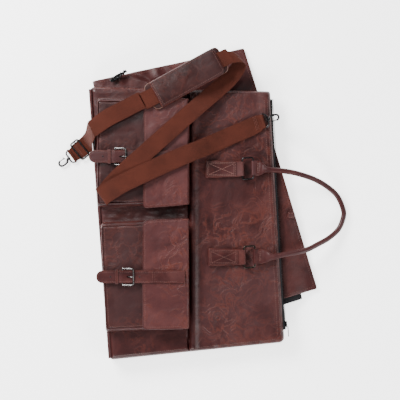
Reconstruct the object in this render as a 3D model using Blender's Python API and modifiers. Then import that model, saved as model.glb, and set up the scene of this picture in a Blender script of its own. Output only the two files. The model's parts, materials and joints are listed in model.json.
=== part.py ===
"""A leather garment bag, folded flat in half with its shoulder strap laid across it.

The bag lies on a table: its back half is underneath, a loose suit sleeve sticks out between
the halves, and the front half, with two flap pockets and a carrying handle, is on top.
+X runs from the fold to the zip, +Y from the bag's foot to its head, +Z up from the table.
All sizes below are millimetres, in the bag's own plan; MM turns them into Blender's metres.
"""

import math

import bmesh
import bpy
from mathutils import Matrix, Vector

MM = 0.001

# The row frame's origin is the middle of the whole object's footprint, seen from the bag's plan.
PLAN_CENTRE = (21.7, 44.5)

# Heights of the stacked layers, from the table up.
SHELL_BACK = (0.0, 9.0)
LINING_BACK = (9.3, 11.3)
KEEPER_STRAP = (11.6, 12.8)
KEEPER_CLIP = (13.1, 14.2)
SLEEVE_LINING = (14.4, 15.8)
SLEEVE_COVER = (17.3, 21.3)
LINING_FRONT = (22.0, 23.8)
SHELL_FRONT_LOW = 24.1
PANEL_TOP = 40.0
PANEL_RIM = 32.0
POCKET = (40.4, 59.5)
SNAP_STUD = (59.8, 60.8)
SNAP_SOCKET = (61.1, 62.1)
BUCKLE_STRAP = (62.4, 64.2)
FLAP = (61.4, 64.2)
BELT = (64.5, 66.7)

# Plans, each as four corners: foot left, foot right, head right, head left.
FRONT_PLAN = ((-209.5, -291), (178, -280), (187, 276), (-209.5, 315))
BACK_PLAN = ((-208, -287), (169, -276), (180, 273), (-208, 311))
SLEEVE_PLAN = ((-85, -238), (261, -169), (137, 378), (-205, 328))
SLEEVE_LINING_PLAN = ((-85, -255), (226, -189), (120, 368), (-200, 322))
POCKET_PLANS = {
    "upper": ((-213, 49), (-21, 40), (-4, 270), (-196, 290)),
    "lower": ((-214, -227), (-42, -233), (-24, 10), (-208, 15)),
}
FLAP_PLANS = {
    "upper": ((-110, 39), (-9, 39), (8, 271), (-92, 283)),
    "lower": ((-131, -226), (-29, -232), (-12, 9), (-114, 13)),
}
FOLD_X = -222.0
FOLD_Z = 42.5
WALL = 2.0
POCKET_MOUTH = 28.0

# The crease beside the pockets: its x where y is 0, and how far it leans.
CREASE_X = -11.2
CREASE_LEAN = 0.0721
PANEL_BULGE = 6.0
FLAP_AXIS_Z = 50.0

# Belts, each from its root at the crease to its tip.
BELT_LINES = {"upper": ((-13, 144.0), (-221, 160.5)), "lower": ((-30, -117.5), (-224, -103.5))}
BELT_WIDTH = 28.0
BUCKLE_FROM_TIP = 57.0
BUCKLE_DEPTH = 24.0
BUCKLE_HALF_WIDTH = 18.0
BUCKLE_WIRE = 1.3

# Zip along the open edge: its outer face where y is 0, and how far it leans.
ZIP_X = 187.25
ZIP_LEAN = 0.01644
ZIP_SPAN = (-252.0, 258.0)
ZIP_SLIDER_Y = -240.0

# Handle: tabs, rings and the rolled grip.
RING_X = 106.6
RING_LEAN = 0.0543
RING_DEPTH = 24.0
RING_HALF_WIDTH = 23.5
RING_WIRE = 1.8
RING_Z = 46.6
RING_ROWS = {"upper": 109.0, "lower": -85.0}
TAB_START_X = {"upper": 33.0, "lower": 25.0}
TAB_WIDTH = 40.0
TAB = (41.6, 44.4)
LOOP_WIDTH = 26.0
LOOP_BORE = 2.3
LOOP_WALL = 1.9
GRIP_RADIUS = 5.8
GRIP_ROUTE = (
    (166, 103.5, 47.2), (186, 100.5, 46), (206, 97, 43), (233, 90, 36), (270, 75, 25),
    (299, 56, 15.5), (320, 34, 8.6), (331, 4, 6.3), (330, -15, 6.3), (317, -40, 9),
    (293, -58, 17), (266, -70, 26.5), (243, -79, 34), (220, -83, 40.5), (190, -86, 45.6),
    (166, -89, 47.2),
)

# Shoulder strap: woven webbing, folded back on itself twice.
WEB_WIDTH = 38.0
WEB_THICKNESS = 1.8
# Stations along the loose strap: left edge, right edge (plan), height at the left and the right.
STRAP_STATIONS = (
    ((-217.0, 237.0), (-203.2, 202.6), 60.8, 62.9),
    ((-180.0, 259.0), (-165.0, 224.0), 61.4, 61.4),
    ((-135.0, 278.0), (-120.0, 243.0), 62.6, 62.6),
    ((-104.0, 291.5), (-89.0, 256.5), 67.0, 67.0),
    ((-86.0, 294.5), (-70.0, 259.9), 69.9, 69.9),
    ((79.0, 370.0), (95.0, 335.4), 69.9, 69.9),
    ((99.0, 372.5), (110.0, 340.0), 69.0, 70.0),
    ((112.0, 368.5), (127.0, 341.0), 65.5, 67.0),
    ((118.5, 364.5), (135.5, 336.5), 59.5, 60.5),
    ((119.0, 358.0), (135.5, 328.0), 54.0, 54.0),
    ((112.0, 347.0), (128.0, 314.5), 50.5, 50.5),
    ((88.0, 323.5), (106.0, 291.0), 48.5, 48.5),
    ((58.0, 301.0), (78.5, 269.5), 48.0, 48.0),
    ((32.0, 281.5), (55.0, 251.5), 53.5, 53.5),
    ((9.0, 264.0), (32.0, 234.0), 63.4, 63.4),
    ((-12.0, 248.0), (11.0, 218.0), 67.2, 67.2),
    ((-60.0, 211.5), (-37.0, 181.5), 68.3, 68.3),
    ((-112.0, 171.5), (-89.0, 141.5), 71.0, 71.0),
    ((-156.0, 138.0), (-133.0, 107.8), 71.2, 71.2),
    ((-186.0, 112.5), (-163.0, 80.0), 66.0, 66.0),
    ((-204.0, 94.0), (-181.0, 58.5), 61.4, 61.4),
    ((-210.2, 88.0), (-187.5, 51.8), 61.9, 61.9),
    ((-211.4, 88.2), (-189.0, 51.4), 64.1, 64.1),
    ((-207.5, 91.0), (-185.0, 55.5), 66.2, 66.2),
    ((-190.0, 100.5), (-170.0, 63.5), 69.5, 69.5),
    ((-160.0, 114.0), (-143.0, 77.5), 74.4, 74.4),
    ((-112.0, 133.5), (-97.0, 95.6), 73.6, 73.6),
    ((-60.0, 152.5), (-46.5, 114.5), 69.0, 69.0),
    ((-8.0, 170.0), (5.5, 132.5), 68.2, 68.2),
    ((20.0, 179.0), (33.5, 141.8), 58.5, 58.5),
    ((44.0, 187.5), (57.5, 150.0), 47.6, 47.6),
    ((80.0, 200.0), (93.0, 163.0), 42.8, 42.8),
    ((125.0, 215.6), (138.0, 178.6), 42.2, 42.2),
    ((145.0, 222.6), (156.0, 186.2), 42.6, 42.6),
    ((159.1, 228.1), (167.7, 191.1), 44.9, 44.9),
)
TAIL_STATIONS = (
    ((-270.0, 184.6), (-249.9, 152.4), 3.9, 3.9),
    ((-257.7, 192.9), (-235.9, 161.7), 3.9, 3.9),
    ((-244.6, 202.3), (-222.8, 171.1), 3.9, 3.9),
    ((-237.0, 208.0), (-216.5, 177.5), 6.5, 36.5),
    ((-228.0, 215.0), (-211.5, 190.0), 15.0, 49.0),
    ((-223.0, 227.0), (-209.0, 193.0), 34.0, 57.0),
    ((-217.9, 236.6), (-204.1, 202.2), 58.6, 62.4),
)
PAD_AXIS = ((-80.0, 276.0), (88.0, 352.9))
PAD_WIDTH = 62.0
PAD = (64.9, 75.2)
PAD_SLOT_HALF_HEIGHT = 1.8

# Snap hooks: where the bar that the webbing loops round lies, and which way the hook points.
HOOK_A_BAR = (-262.0, 167.0, 4.6)
HOOK_A_ANGLE = 212.0
HOOK_B_BAR = (165.9, 210.2, 45.4)
HOOK_B_ANGLE = 13.0
HOOK_WIRE = 1.4
ADJUSTER_CENTRE = (-244.4, 179.3)
ADJUSTER_ANGLE = 35.0


# ---------------------------------------------------------------- scene and helpers


def clear_scene():
    for old in list(bpy.data.objects):
        bpy.data.objects.remove(old, do_unlink=True)


def collection(name):
    made = bpy.data.collections.new(name)
    bpy.context.scene.collection.children.link(made)
    return made


clear_scene()
BAG = collection("garment_bag")
CUTTERS = collection("cutters")
FRAME = bpy.data.objects.new("bag_frame", None)
FRAME.location = (-PLAN_CENTRE[0] * MM, -PLAN_CENTRE[1] * MM, 0)
BAG.objects.link(FRAME)


def material(name, colour, roughness, metallic=0.0):
    made = bpy.data.materials.new(name)
    made.use_nodes = True
    shader = made.node_tree.nodes["Principled BSDF"]
    shader.inputs["Base Color"].default_value = (*colour, 1)
    shader.inputs["Roughness"].default_value = roughness
    shader.inputs["Metallic"].default_value = metallic
    return made


LEATHER = material("leather", (0.095, 0.032, 0.028), 0.42)
WEBBING = material("webbing", (0.125, 0.034, 0.022), 0.85)
LINING = material("lining", (0.012, 0.012, 0.014), 0.6)
GUNMETAL = material("gunmetal", (0.09, 0.085, 0.085), 0.3, 1.0)
NICKEL = material("nickel", (0.42, 0.40, 0.39), 0.22, 1.0)


def add(name, data, surface, origin=(0, 0, 0), helper=False):
    """One object of the bag, or a hidden helper, standing on its own origin in the bag's plan."""
    made = bpy.data.objects.new(name, data)
    made.location = Vector(origin) * MM
    made.parent = FRAME
    data.materials.append(surface)
    (CUTTERS if helper else BAG).objects.link(made)
    if helper:
        made.hide_render = True
        made.display_type = "WIRE"
    return made


def finish_mesh(name, mesh_builder, surface, origin, helper=False, smooth=True):
    bmesh.ops.translate(mesh_builder, verts=mesh_builder.verts, vec=-Vector(origin))
    bmesh.ops.scale(mesh_builder, verts=mesh_builder.verts, vec=(MM, MM, MM))
    mesh = bpy.data.meshes.new(name)
    mesh_builder.to_mesh(mesh)
    mesh_builder.free()
    if smooth:
        mesh.shade_smooth()
        mesh.set_sharp_from_angle(angle=math.radians(35))
    return add(name, mesh, surface, origin, helper)


def value(height, x, y):
    return height(x, y) if callable(height) else height


def slab(name, plan, heights, surface, cells=(1, 1), origin=(0, 0, 0), helper=False, rim=0.0):
    """A grid stretched over a four-cornered plan and extruded from its low height to its high one."""
    foot_left, foot_right, head_right, head_left = (Vector(corner) for corner in plan)
    built = bmesh.new()
    bmesh.ops.create_grid(built, x_segments=cells[0], y_segments=cells[1], size=0.5)
    for point in built.verts:
        across, along = point.co.x + 0.5, point.co.y + 0.5
        foot = foot_left.lerp(foot_right, across)
        head = head_left.lerp(head_right, across)
        point.co.xy = foot.lerp(head, along)
    below = list(built.verts)
    raised = bmesh.ops.extrude_face_region(built, geom=built.faces[:])["geom"]
    for point in (item for item in raised if isinstance(item, bmesh.types.BMVert)):
        point.co.z = value(heights[1], point.co.x, point.co.y)
    for point in below:
        point.co.z = value(heights[0], point.co.x, point.co.y)
    bmesh.ops.recalc_face_normals(built, faces=built.faces)
    made = finish_mesh(name, built, surface, origin, helper)
    if rim:
        bevel = made.modifiers.new("rim", "BEVEL")
        bevel.width = rim * MM
        bevel.segments = 2
        bevel.limit_method = "ANGLE"
        bevel.angle_limit = math.radians(50)
    return made


def strip_plan(start, end, width):
    """The four corners of a straight strip from start to end."""
    start, end = Vector(start[:2]), Vector(end[:2])
    along = (end - start).normalized()
    side = Vector((-along.y, along.x)) * width / 2
    return (start - side, end - side, end + side, start + side)


def smooth_route(points, steps):
    """Points along a Catmull-Rom curve through the route's own points."""
    points = [Vector(point) for point in points]
    ends = [points[0] * 2 - points[1], *points, points[-1] * 2 - points[-2]]
    route = []
    for before, here, there, after in zip(ends, ends[1:], ends[2:], ends[3:]):
        for step in range(steps):
            t = step / steps
            route.append(
                0.5 * (2 * here + (there - before) * t
                       + (2 * before - 5 * here + 4 * there - after) * t ** 2
                       + (3 * here - before - 3 * there + after) * t ** 3)
            )
    return [*route, points[-1]]


def tube(name, route, radius, surface, closed=False, origin=(0, 0, 0), sides=2, helper=False):
    """A bent wire or rolled tube along a route."""
    curve = bpy.data.curves.new(name, "CURVE")
    curve.dimensions = "3D"
    curve.bevel_depth = radius * MM
    curve.bevel_resolution = sides
    curve.use_fill_caps = True
    spline = curve.splines.new("POLY")
    spline.points.add(len(route) - 1)
    for point, place in zip(spline.points, route):
        point.co = (*((Vector(place) - Vector(origin)) * MM), 1)
    spline.use_cyclic_u = closed
    spline.use_smooth = True
    return add(name, curve, surface, origin, helper)


def meshed(curve_object):
    """The same piece as a mesh, with its caps welded, so that it can be cut or joined."""
    bpy.context.view_layer.update()
    seen = curve_object.evaluated_get(bpy.context.evaluated_depsgraph_get())
    mesh = bpy.data.meshes.new_from_object(seen)
    welded = bmesh.new()
    welded.from_mesh(mesh)
    bmesh.ops.remove_doubles(welded, verts=welded.verts, dist=1e-6)
    bmesh.ops.recalc_face_normals(welded, faces=welded.faces)
    welded.to_mesh(mesh)
    welded.free()
    name, place = curve_object.name, curve_object.location.copy()
    home = curve_object.users_collection[0]
    hidden = curve_object.hide_render
    bpy.data.objects.remove(curve_object, do_unlink=True)
    made = bpy.data.objects.new(name, mesh)
    made.location = place
    made.parent = FRAME
    made.hide_render = hidden
    made.display_type = "WIRE" if hidden else "TEXTURED"
    home.objects.link(made)
    return made


def turned(name, start, end, radius, surface, bore=0.0, helper=False, origin=(0, 0, 0)):
    """A cylinder, or with a bore a sleeve, between two points: a profile turned by a Screw."""
    start, end = Vector(start), Vector(end)
    length = (end - start).length
    if bore:
        profile = [(bore, 0), (bore, length), (radius, length), (radius, 0)]
    else:
        profile = [(0, length), (radius, length), (radius, 0), (0, 0)]
    mesh = bpy.data.meshes.new(name)
    corners = [(x * MM, 0, z * MM) for x, z in profile]
    sides = [(i, i + 1) for i in range(3)] + ([(3, 0)] if bore else [])
    mesh.from_pydata(corners, sides, [])
    made = add(name, mesh, surface, start, helper)
    made.rotation_mode = "QUATERNION"
    made.rotation_quaternion = (end - start).to_track_quat("Z", "Y")
    screw = made.modifiers.new("turn", "SCREW")
    screw.axis = "Z"
    screw.steps = screw.render_steps = 16
    screw.use_merge_vertices = True
    screw.merge_threshold = 1e-5
    screw.use_smooth_shade = True
    return made


def combine(target, tool, operation):
    """Joins a hidden helper to a piece, or cuts it away from it."""
    step = target.modifiers.new(tool.name, "BOOLEAN")
    step.operation = operation
    step.object = tool
    step.solver = "EXACT"
    return target


def box(name, centre, sides, surface, turn=0.0, origin=None, helper=False):
    """An upright block, turned about Z by an angle in degrees."""
    built = bmesh.new()
    bmesh.ops.create_cube(built, size=1)
    bmesh.ops.scale(built, verts=built.verts, vec=sides)
    spin = Matrix.Rotation(math.radians(turn), 4, "Z")
    bmesh.ops.transform(built, verts=built.verts, matrix=Matrix.Translation(centre) @ spin)
    return finish_mesh(name, built, surface, origin or centre, helper, smooth=False)


def ribbon(name, stations, surface):
    """A flat strap through its stations, with its thickness given by Solidify."""
    built = bmesh.new()
    rows = []
    for left, right, left_height, right_height in stations:
        left, right = Vector((*left, left_height)), Vector((*right, right_height))
        rows.append([built.verts.new(point) for point in (left, (left + right) / 2, right)])
    for before, after in zip(rows, rows[1:]):
        for side in range(2):
            built.faces.new((before[side], before[side + 1], after[side + 1], after[side]))
    made = finish_mesh(name, built, surface, (0, 0, 0))
    solid = made.modifiers.new("thickness", "SOLIDIFY")
    solid.thickness = WEB_THICKNESS * MM
    solid.offset = 0
    solid.use_even_offset = False
    return made


def crease_x(y):
    return CREASE_X + CREASE_LEAN * y


def zip_x(y):
    return ZIP_X + ZIP_LEAN * y


def ring_x(y):
    return RING_X + RING_LEAN * y


def ease(t):
    t = min(max(t, 0.0), 1.0)
    return t * t * (3 - 2 * t)


# ---------------------------------------------------------------- back half and sleeve


def head_edge(x):
    """The front half's head edge, y for a given x."""
    left, right = FRONT_PLAN[3], FRONT_PLAN[2]
    return left[1] + (right[1] - left[1]) * (x - left[0]) / (right[0] - left[0])


def sleeve_droop(x, y):
    """How far the sleeve sinks towards the table beyond the bag's open edge and its head edge."""
    beyond_side = (x - zip_x(y) - 4) / 62
    beyond_head = (y - head_edge(x) - 10) / 75
    return 13.8 * ease(max(beyond_side, beyond_head))


def inset(plan, by):
    middle = sum((Vector(corner) for corner in plan), Vector((0, 0))) / 4
    return [Vector(corner) + (middle - Vector(corner)).normalized() * by for corner in plan]


def make_back_half():
    slab("back_shell", BACK_PLAN, SHELL_BACK, LEATHER, (3, 4), rim=2.0)
    slab("back_lining", inset(BACK_PLAN, 10), LINING_BACK, LINING)
    wall = (
        (-212.0, -286), (-209.6, -286), (-209.6, 309), (-212.0, 309),
    )
    slab("spine_gusset", wall, (0.6, 39.8), LEATHER, (1, 6))
    for row, y in (("upper", 150.0), ("lower", -120.0)):
        band = strip_plan((-185, y), (160, y), 30)
        slab("garment_strap_" + row, band, KEEPER_STRAP, LINING, (4, 1))
        buckle = strip_plan((-30, y), (12, y), 26)
        slab("garment_clip_" + row, buckle, KEEPER_CLIP, GUNMETAL, rim=0.3)
    slab("hanger_loop", strip_plan((-14, 228), (-14, 262), 24), KEEPER_STRAP, LINING)
    arc = [math.radians(a) for a in range(-70, 200, 15)]
    hook = [(-14 + 11 * math.cos(a), 279 + 11 * math.sin(a), 12.9) for a in arc]
    tube("hanger_hook", hook, 1.2, NICKEL)


def make_sleeve():
    def lifted(height):
        return lambda x, y: height - sleeve_droop(x, y)

    low, high = (lifted(height) for height in SLEEVE_LINING)
    slab("sleeve_lining", SLEEVE_LINING_PLAN, (low, high), LINING, (16, 24))
    low, high = (lifted(height) for height in SLEEVE_COVER)
    slab("sleeve_cover", SLEEVE_PLAN, (low, high), LEATHER, (16, 24))
    slab(
        "sleeve_tab", strip_plan((206, 1), (222, -3), 14),
        tuple((lambda x, y, up=up: SLEEVE_COVER[1] + up - sleeve_droop(x, y)) for up in (0.4, 1.8)),
        LEATHER, (3, 2),
    )
    chain = smooth_route([(-166, 324, 25.5), (-152, 331, 26.5), (-140, 340, 27), (-125, 344.5, 26)], 4)
    tube("zip_tail", chain, 3.4, LINING)


# ---------------------------------------------------------------- front half


def panel_height(x, y):
    """The front panel's upper face: bulging beside the crease and rolling down to its rim."""
    left, right = FRONT_PLAN[0][0], zip_x(y) - 4.5
    foot = FRONT_PLAN[0][1] + (FRONT_PLAN[1][1] - FRONT_PLAN[0][1]) * (x - left) / (right - left)
    inside = min(right - x, y - foot, head_edge(x) - y)
    from_crease = x - crease_x(y)
    bulge = PANEL_BULGE * math.exp(-(((from_crease - 16) / 15) ** 2)) if from_crease > -4 else 0
    rolled = ease(inside / 24)
    return PANEL_RIM + (PANEL_TOP + bulge - PANEL_RIM) * rolled


def make_front_half():
    slab("front_lining", inset(FRONT_PLAN, 10), LINING_FRONT, LINING)
    slab("front_shell", FRONT_PLAN, (SHELL_FRONT_LOW, panel_height), LEATHER, (30, 26))
    low, high = ZIP_SPAN
    tape = ((zip_x(low) - 4.1, low), (zip_x(low) - 1.2, low), (zip_x(high) - 1.2, high), (zip_x(high) - 4.1, high))
    slab("zip_tape", tape, (24.6, 31.4), LINING, (1, 4))
    teeth = ((zip_x(low) - 0.9, low), (zip_x(low) + 0.6, low), (zip_x(high) + 0.6, high), (zip_x(high) - 0.9, high))
    slab("zip_teeth", teeth, (26.6, 29.4), GUNMETAL, (1, 4))


def make_zip_slider():
    y = ZIP_SLIDER_Y
    x = zip_x(y)
    lean = -math.degrees(math.atan(ZIP_LEAN))
    body = box("zip_slider", (x + 1.1, y, 28), (4.0, 13, 8.0), GUNMETAL, lean)
    channel = box("slider_channel", (x - 0.2, y, 28), (2.4, 16, 3.6), GUNMETAL, lean, helper=True)
    combine(body, channel, "DIFFERENCE")
    pull_axis = (x + 4.6, y - 4, 28)
    box("zip_pull", (x + 4.6, y - 17, 28), (1.6, 26, 7), GUNMETAL, lean, origin=pull_axis)


def make_pocket(row):
    plan = POCKET_PLANS[row]
    body = slab("pocket_body_" + row, plan, POCKET, LEATHER, (2, 3))
    inner = [
        Vector(corner) + Vector(step) * (WALL + 0.4)
        for corner, step in zip(plan, ((1, 1), (-1, 1), (-1, -1), (1, -1)))
    ]
    hollow = slab("hollow_" + row, inner, (POCKET[0] + WALL, POCKET[1] - WALL), LEATHER, helper=True)
    combine(body, hollow, "DIFFERENCE")
    foot, head = inner[1], inner[2]
    mouth_plan = (
        foot + Vector((-POCKET_MOUTH, 6)), foot + Vector((-2, 6)),
        head + Vector((-2, -6)), head + Vector((-POCKET_MOUTH, -6)),
    )
    mouth = slab("mouth_" + row, mouth_plan, (POCKET[1] - WALL - 1, POCKET[1] + 5), LEATHER, helper=True)
    combine(body, mouth, "DIFFERENCE")


def flap_axis(row):
    """Where the flap turns: a line beside the crease, at the middle of the flap's length."""
    plan = FLAP_PLANS[row]
    y = (plan[1][1] + plan[2][1]) / 2
    return (crease_x(y) + 0.5, y, FLAP_AXIS_Z)


def make_flap(row):
    def bent(height):
        def at(x, y):
            past = max(0.0, x - crease_x(y) + 10) / 9
            return height - 11 * min(past, 1.2) ** 2
        return at

    plan = FLAP_PLANS[row]
    axis = flap_axis(row)
    heights = tuple(bent(height) for height in FLAP)
    slab("pocket_flap_" + row, plan, heights, LEATHER, (24, 4), origin=axis)


def belt_frame(row):
    """The belt's root, its tip, the unit vector towards the tip and the one to its left."""
    root, tip = (Vector(point) for point in BELT_LINES[row])
    along = (tip - root).normalized()
    return root, tip, along, Vector((-along.y, along.x))


def make_belt(row):
    root, tip, along, side = belt_frame(row)
    axis = flap_axis(row)

    def at(from_tip, across, z):
        place = tip - along * from_tip + side * across
        return (place.x, place.y, z)

    belt = slab("flap_belt_" + row, strip_plan(root, tip, BELT_WIDTH), BELT, LEATHER, (6, 1), origin=axis)
    hole = box("hole_" + row, at(BUCKLE_FROM_TIP + 13.5, 0, 65.6), (8, 4, 6), LEATHER,
               math.degrees(math.atan2(along.y, along.x)), helper=True)
    combine(belt, hole, "DIFFERENCE")
    pivot, front = BUCKLE_FROM_TIP, BUCKLE_FROM_TIP + BUCKLE_DEPTH
    half = BUCKLE_HALF_WIDTH
    frame = [
        at(pivot, -half, 63.0), at(pivot, half, 63.0), at(pivot + 3, half, 64.2),
        at(front - 3, half, 68.2), at(front, half - 3, 68.7), at(front, -half + 3, 68.7),
        at(front - 3, -half, 68.2), at(pivot + 3, -half, 64.2),
    ]
    tube("buckle_frame_" + row, frame, BUCKLE_WIRE, NICKEL, closed=True, origin=axis)
    prong = [
        at(pivot + 2.9, 0, 62.9), at(pivot + 10, 0, 63.1), at(pivot + 13, 0, 64.8),
        at(pivot + 15.5, 0, 68.0), at(pivot + 19, 0, 70.6), at(front + 1.5, 0, 71.3),
    ]
    tube("buckle_prong_" + row, prong, 0.95, NICKEL, origin=axis)
    inner = strip_plan(at(14, 0, 0), at(pivot - 2.0, 0, 0), BELT_WIDTH - 2)
    slab("buckle_strap_" + row, inner, BUCKLE_STRAP, LEATHER, (2, 1), origin=axis)
    keeper_at = pivot - 12
    keeper = slab(
        "belt_keeper_" + row, strip_plan(at(keeper_at - 3, 0, 0), at(keeper_at + 3, 0, 0), BELT_WIDTH + 4.4),
        (61.0, 68.4), LEATHER, origin=axis,
    )
    gap = slab(
        "keeper_gap_" + row, strip_plan(at(keeper_at - 6, 0, 0), at(keeper_at + 6, 0, 0), BELT_WIDTH + 0.8),
        (62.1, 67.1), LEATHER, helper=True,
    )
    combine(keeper, gap, "DIFFERENCE")
    snap_at = 27.0
    stud, socket = SNAP_STUD, SNAP_SOCKET
    turned("snap_stud_" + row, at(snap_at, 0, stud[0]), at(snap_at, 0, stud[1]), 6.0, NICKEL)
    turned("snap_socket_" + row, at(snap_at, 0, socket[0]), at(snap_at, 0, socket[1]), 7.0, NICKEL)


# ---------------------------------------------------------------- handle


def ring_bars(row):
    """The ring's inner bar and outer bar: their middles, and the unit vector along them."""
    y = RING_ROWS[row]
    along = Vector((RING_LEAN, 1, 0)).normalized()
    inner = Vector((ring_x(y), y, RING_Z))
    return inner, inner + Vector((RING_DEPTH, 0, 0)), along


def leather_loop(piece, middle, along, width):
    """Adds to a piece the loop by which it holds a bar."""
    start, end = middle - along * width / 2, middle + along * width / 2
    name = piece.name
    outside = turned(name + "_loop", start, end, LOOP_BORE + LOOP_WALL, LEATHER, helper=True)
    bore = turned(name + "_bore", start - along * 3, end + along * 3, LOOP_BORE, LEATHER, helper=True)
    combine(piece, outside, "UNION")
    combine(piece, bore, "DIFFERENCE")


def make_handle_side(row):
    inner, outer, along = ring_bars(row)
    half = along * RING_HALF_WIDTH
    corner, back = 3.0, Vector((3.0, 0, 0))
    wire = [
        inner - half + along * corner, inner + half - along * corner,
        inner + half + back, outer + half - back,
        outer + half - along * corner, outer - half + along * corner,
        outer - half - back, inner - half + back,
    ]
    tube("handle_ring_" + row, wire, RING_WIRE, GUNMETAL, closed=True, origin=inner)
    start = Vector((TAB_START_X[row], inner.y + 5.5, 0))
    reach = inner - Vector((2.9, 0, 0))
    tab = slab("handle_tab_" + row, strip_plan(start, reach, TAB_WIDTH), TAB, LEATHER, (6, 2))
    leather_loop(tab, inner, along, LOOP_WIDTH)
    end_point = Vector(GRIP_ROUTE[0] if row == "upper" else GRIP_ROUTE[-1])
    from_bar = outer + Vector((2.6, 0, 0))
    flat = strip_plan(from_bar, end_point - Vector((2.2, 0, 0)), LOOP_WIDTH)
    narrow = 6.0
    flat = (flat[0], flat[1] + Vector((0, narrow)), flat[2] - Vector((0, narrow)), flat[3])
    end = slab("handle_end_" + row, flat, (RING_Z - 2.6, RING_Z + 2.6), LEATHER, (4, 2), origin=outer, rim=0.8)
    leather_loop(end, outer, along, LOOP_WIDTH)


def make_handle():
    for row in RING_ROWS:
        make_handle_side(row)
    upper, lower = ring_bars("upper")[1], ring_bars("lower")[1]
    tube("handle_grip", smooth_route(GRIP_ROUTE, 3), GRIP_RADIUS, LEATHER, origin=(upper + lower) / 2, sides=3)


# ---------------------------------------------------------------- shoulder strap


def make_strap():
    strap = ribbon("strap_webbing", STRAP_STATIONS, WEBBING)
    bar = Vector(HOOK_B_BAR)
    add_strap_loop(strap, bar, HOOK_B_ANGLE)
    tail = ribbon("strap_tail_webbing", TAIL_STATIONS, WEBBING)
    add_strap_loop(tail, Vector(HOOK_A_BAR), HOOK_A_ANGLE)
    start, end = PAD_AXIS
    middle = (Vector(start) + Vector(end)) / 2
    pad = slab("strap_pad", strip_plan(start, end, PAD_WIDTH), PAD, LEATHER, (5, 3),
               origin=(*middle, PAD[0]), rim=3.0)
    slot_z = STRAP_STATIONS[4][2]
    reach = (Vector(end) - Vector(start)).normalized() * 20
    slot = slab(
        "pad_slot", strip_plan(Vector(start) - reach, Vector(end) + reach, WEB_WIDTH + 2.6),
        (slot_z - PAD_SLOT_HALF_HEIGHT, slot_z + PAD_SLOT_HALF_HEIGHT), LEATHER, helper=True,
    )
    combine(pad, slot, "DIFFERENCE")


def add_strap_loop(strap, bar, angle):
    """The sewn loop at the webbing's end, round the hook's bar."""
    turn = math.radians(angle)
    along = Vector((-math.sin(turn), math.cos(turn), 0))
    start, end = bar - along * 14.0, bar + along * 14.0
    outside = turned(strap.name + "_loop", start, end, 3.9, WEBBING, helper=True)
    bore = turned(strap.name + "_bore", start - along * 3, end + along * 3, 1.9, WEBBING, helper=True)
    combine(strap, outside, "UNION")
    combine(strap, bore, "DIFFERENCE")


def hook_place(bar, angle):
    """Turns the hook's own (along, across, up) into the bag's plan."""
    turn = math.radians(angle)
    ahead = Vector((math.cos(turn), math.sin(turn), 0))
    across = Vector((-math.sin(turn), math.cos(turn), 0))
    return lambda u, v, w=0.0: Vector(bar) + ahead * u + across * v + Vector((0, 0, w))


def make_hook(side, bar, angle):
    at = hook_place(bar, angle)
    half, depth = 17.0, 9.5
    wire = [
        at(0, -half + 2), at(0, half - 2), at(2, half), at(depth - 2.5, half - 3),
        at(depth, half - 6), at(depth, -half + 6), at(depth - 2.5, -half + 3), at(2, -half),
    ]
    ring = meshed(tube("hook_ring_" + side, wire, HOOK_WIRE, GUNMETAL, closed=True, origin=bar))
    barrel = turned("barrel_" + side, at(7, 0), at(12.5, 0), 3.3, GUNMETAL, helper=True)
    bore = turned("barrel_bore_" + side, at(4, 0), at(15, 0), 1.9, GUNMETAL, helper=True)
    combine(ring, barrel, "UNION")
    combine(ring, bore, "DIFFERENCE")
    path = [
        (13.5, 0), (15.0, 2.4), (17.5, 5.0), (21.5, 6.2), (27.5, 6.3), (32, 5.2), (34.8, 2.6), (35.3, -0.6),
        (34.2, -3.6), (31.8, -5.6), (28.6, -6.1),
    ]
    hook = meshed(tube("snap_hook_" + side, [at(u, v) for u, v in path], HOOK_WIRE, GUNMETAL, origin=at(13, 0)))
    shank = turned("shank_" + side, at(4.7, 0), at(13.6, 0), 1.5, GUNMETAL, helper=True)
    flange = turned("flange_" + side, at(4.2, 0), at(6.4, 0), 2.5, GUNMETAL, helper=True)
    collar = turned("collar_" + side, at(13.0, 0), at(15.2, 0), 2.9, GUNMETAL, helper=True)
    for piece in (shank, flange, collar):
        combine(hook, piece, "UNION")
    gate = [at(27.7, -6.0), at(22, -5.6), at(17.2, -4.9)]
    tube("hook_gate_" + side, gate, 1.05, NICKEL, origin=at(17.2, -4.9))


def make_adjuster():
    turn = math.radians(ADJUSTER_ANGLE)
    ahead = Vector((math.cos(turn), math.sin(turn), 0))
    across = Vector((-math.sin(turn), math.cos(turn), 0))
    centre = Vector((*ADJUSTER_CENTRE, 0))

    def at(u, v, z):
        return centre + ahead * u + across * v + Vector((0, 0, z))

    half, depth, high, low = 21.6, 10.0, 6.7, 1.5
    frame = [
        at(-depth, -half + 2, high), at(-depth, half - 2, high), at(-depth + 2, half, high),
        at(depth - 2, half, high), at(depth, half - 2, high), at(depth, -half + 2, high),
        at(depth - 2, -half, high), at(-depth + 2, -half, high),
    ]
    body = meshed(tube("strap_adjuster", frame, 1.4, GUNMETAL, closed=True, origin=centre))
    bar = [at(0, -half, high), at(0, -half, low + 0.6), at(0, -half + 1.6, low), at(0, half - 1.6, low),
           at(0, half, low + 0.6), at(0, half, high)]
    middle = meshed(tube("middle_bar", bar, 1.2, GUNMETAL, origin=centre, helper=True))
    combine(body, middle, "UNION")


make_back_half()
make_sleeve()
make_front_half()
make_zip_slider()
for pocket_row in POCKET_PLANS:
    make_pocket(pocket_row)
    make_flap(pocket_row)
    make_belt(pocket_row)
make_handle()
make_strap()
make_hook("a", HOOK_A_BAR, HOOK_A_ANGLE)
make_hook("b", HOOK_B_BAR, HOOK_B_ANGLE)
make_adjuster()
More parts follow.
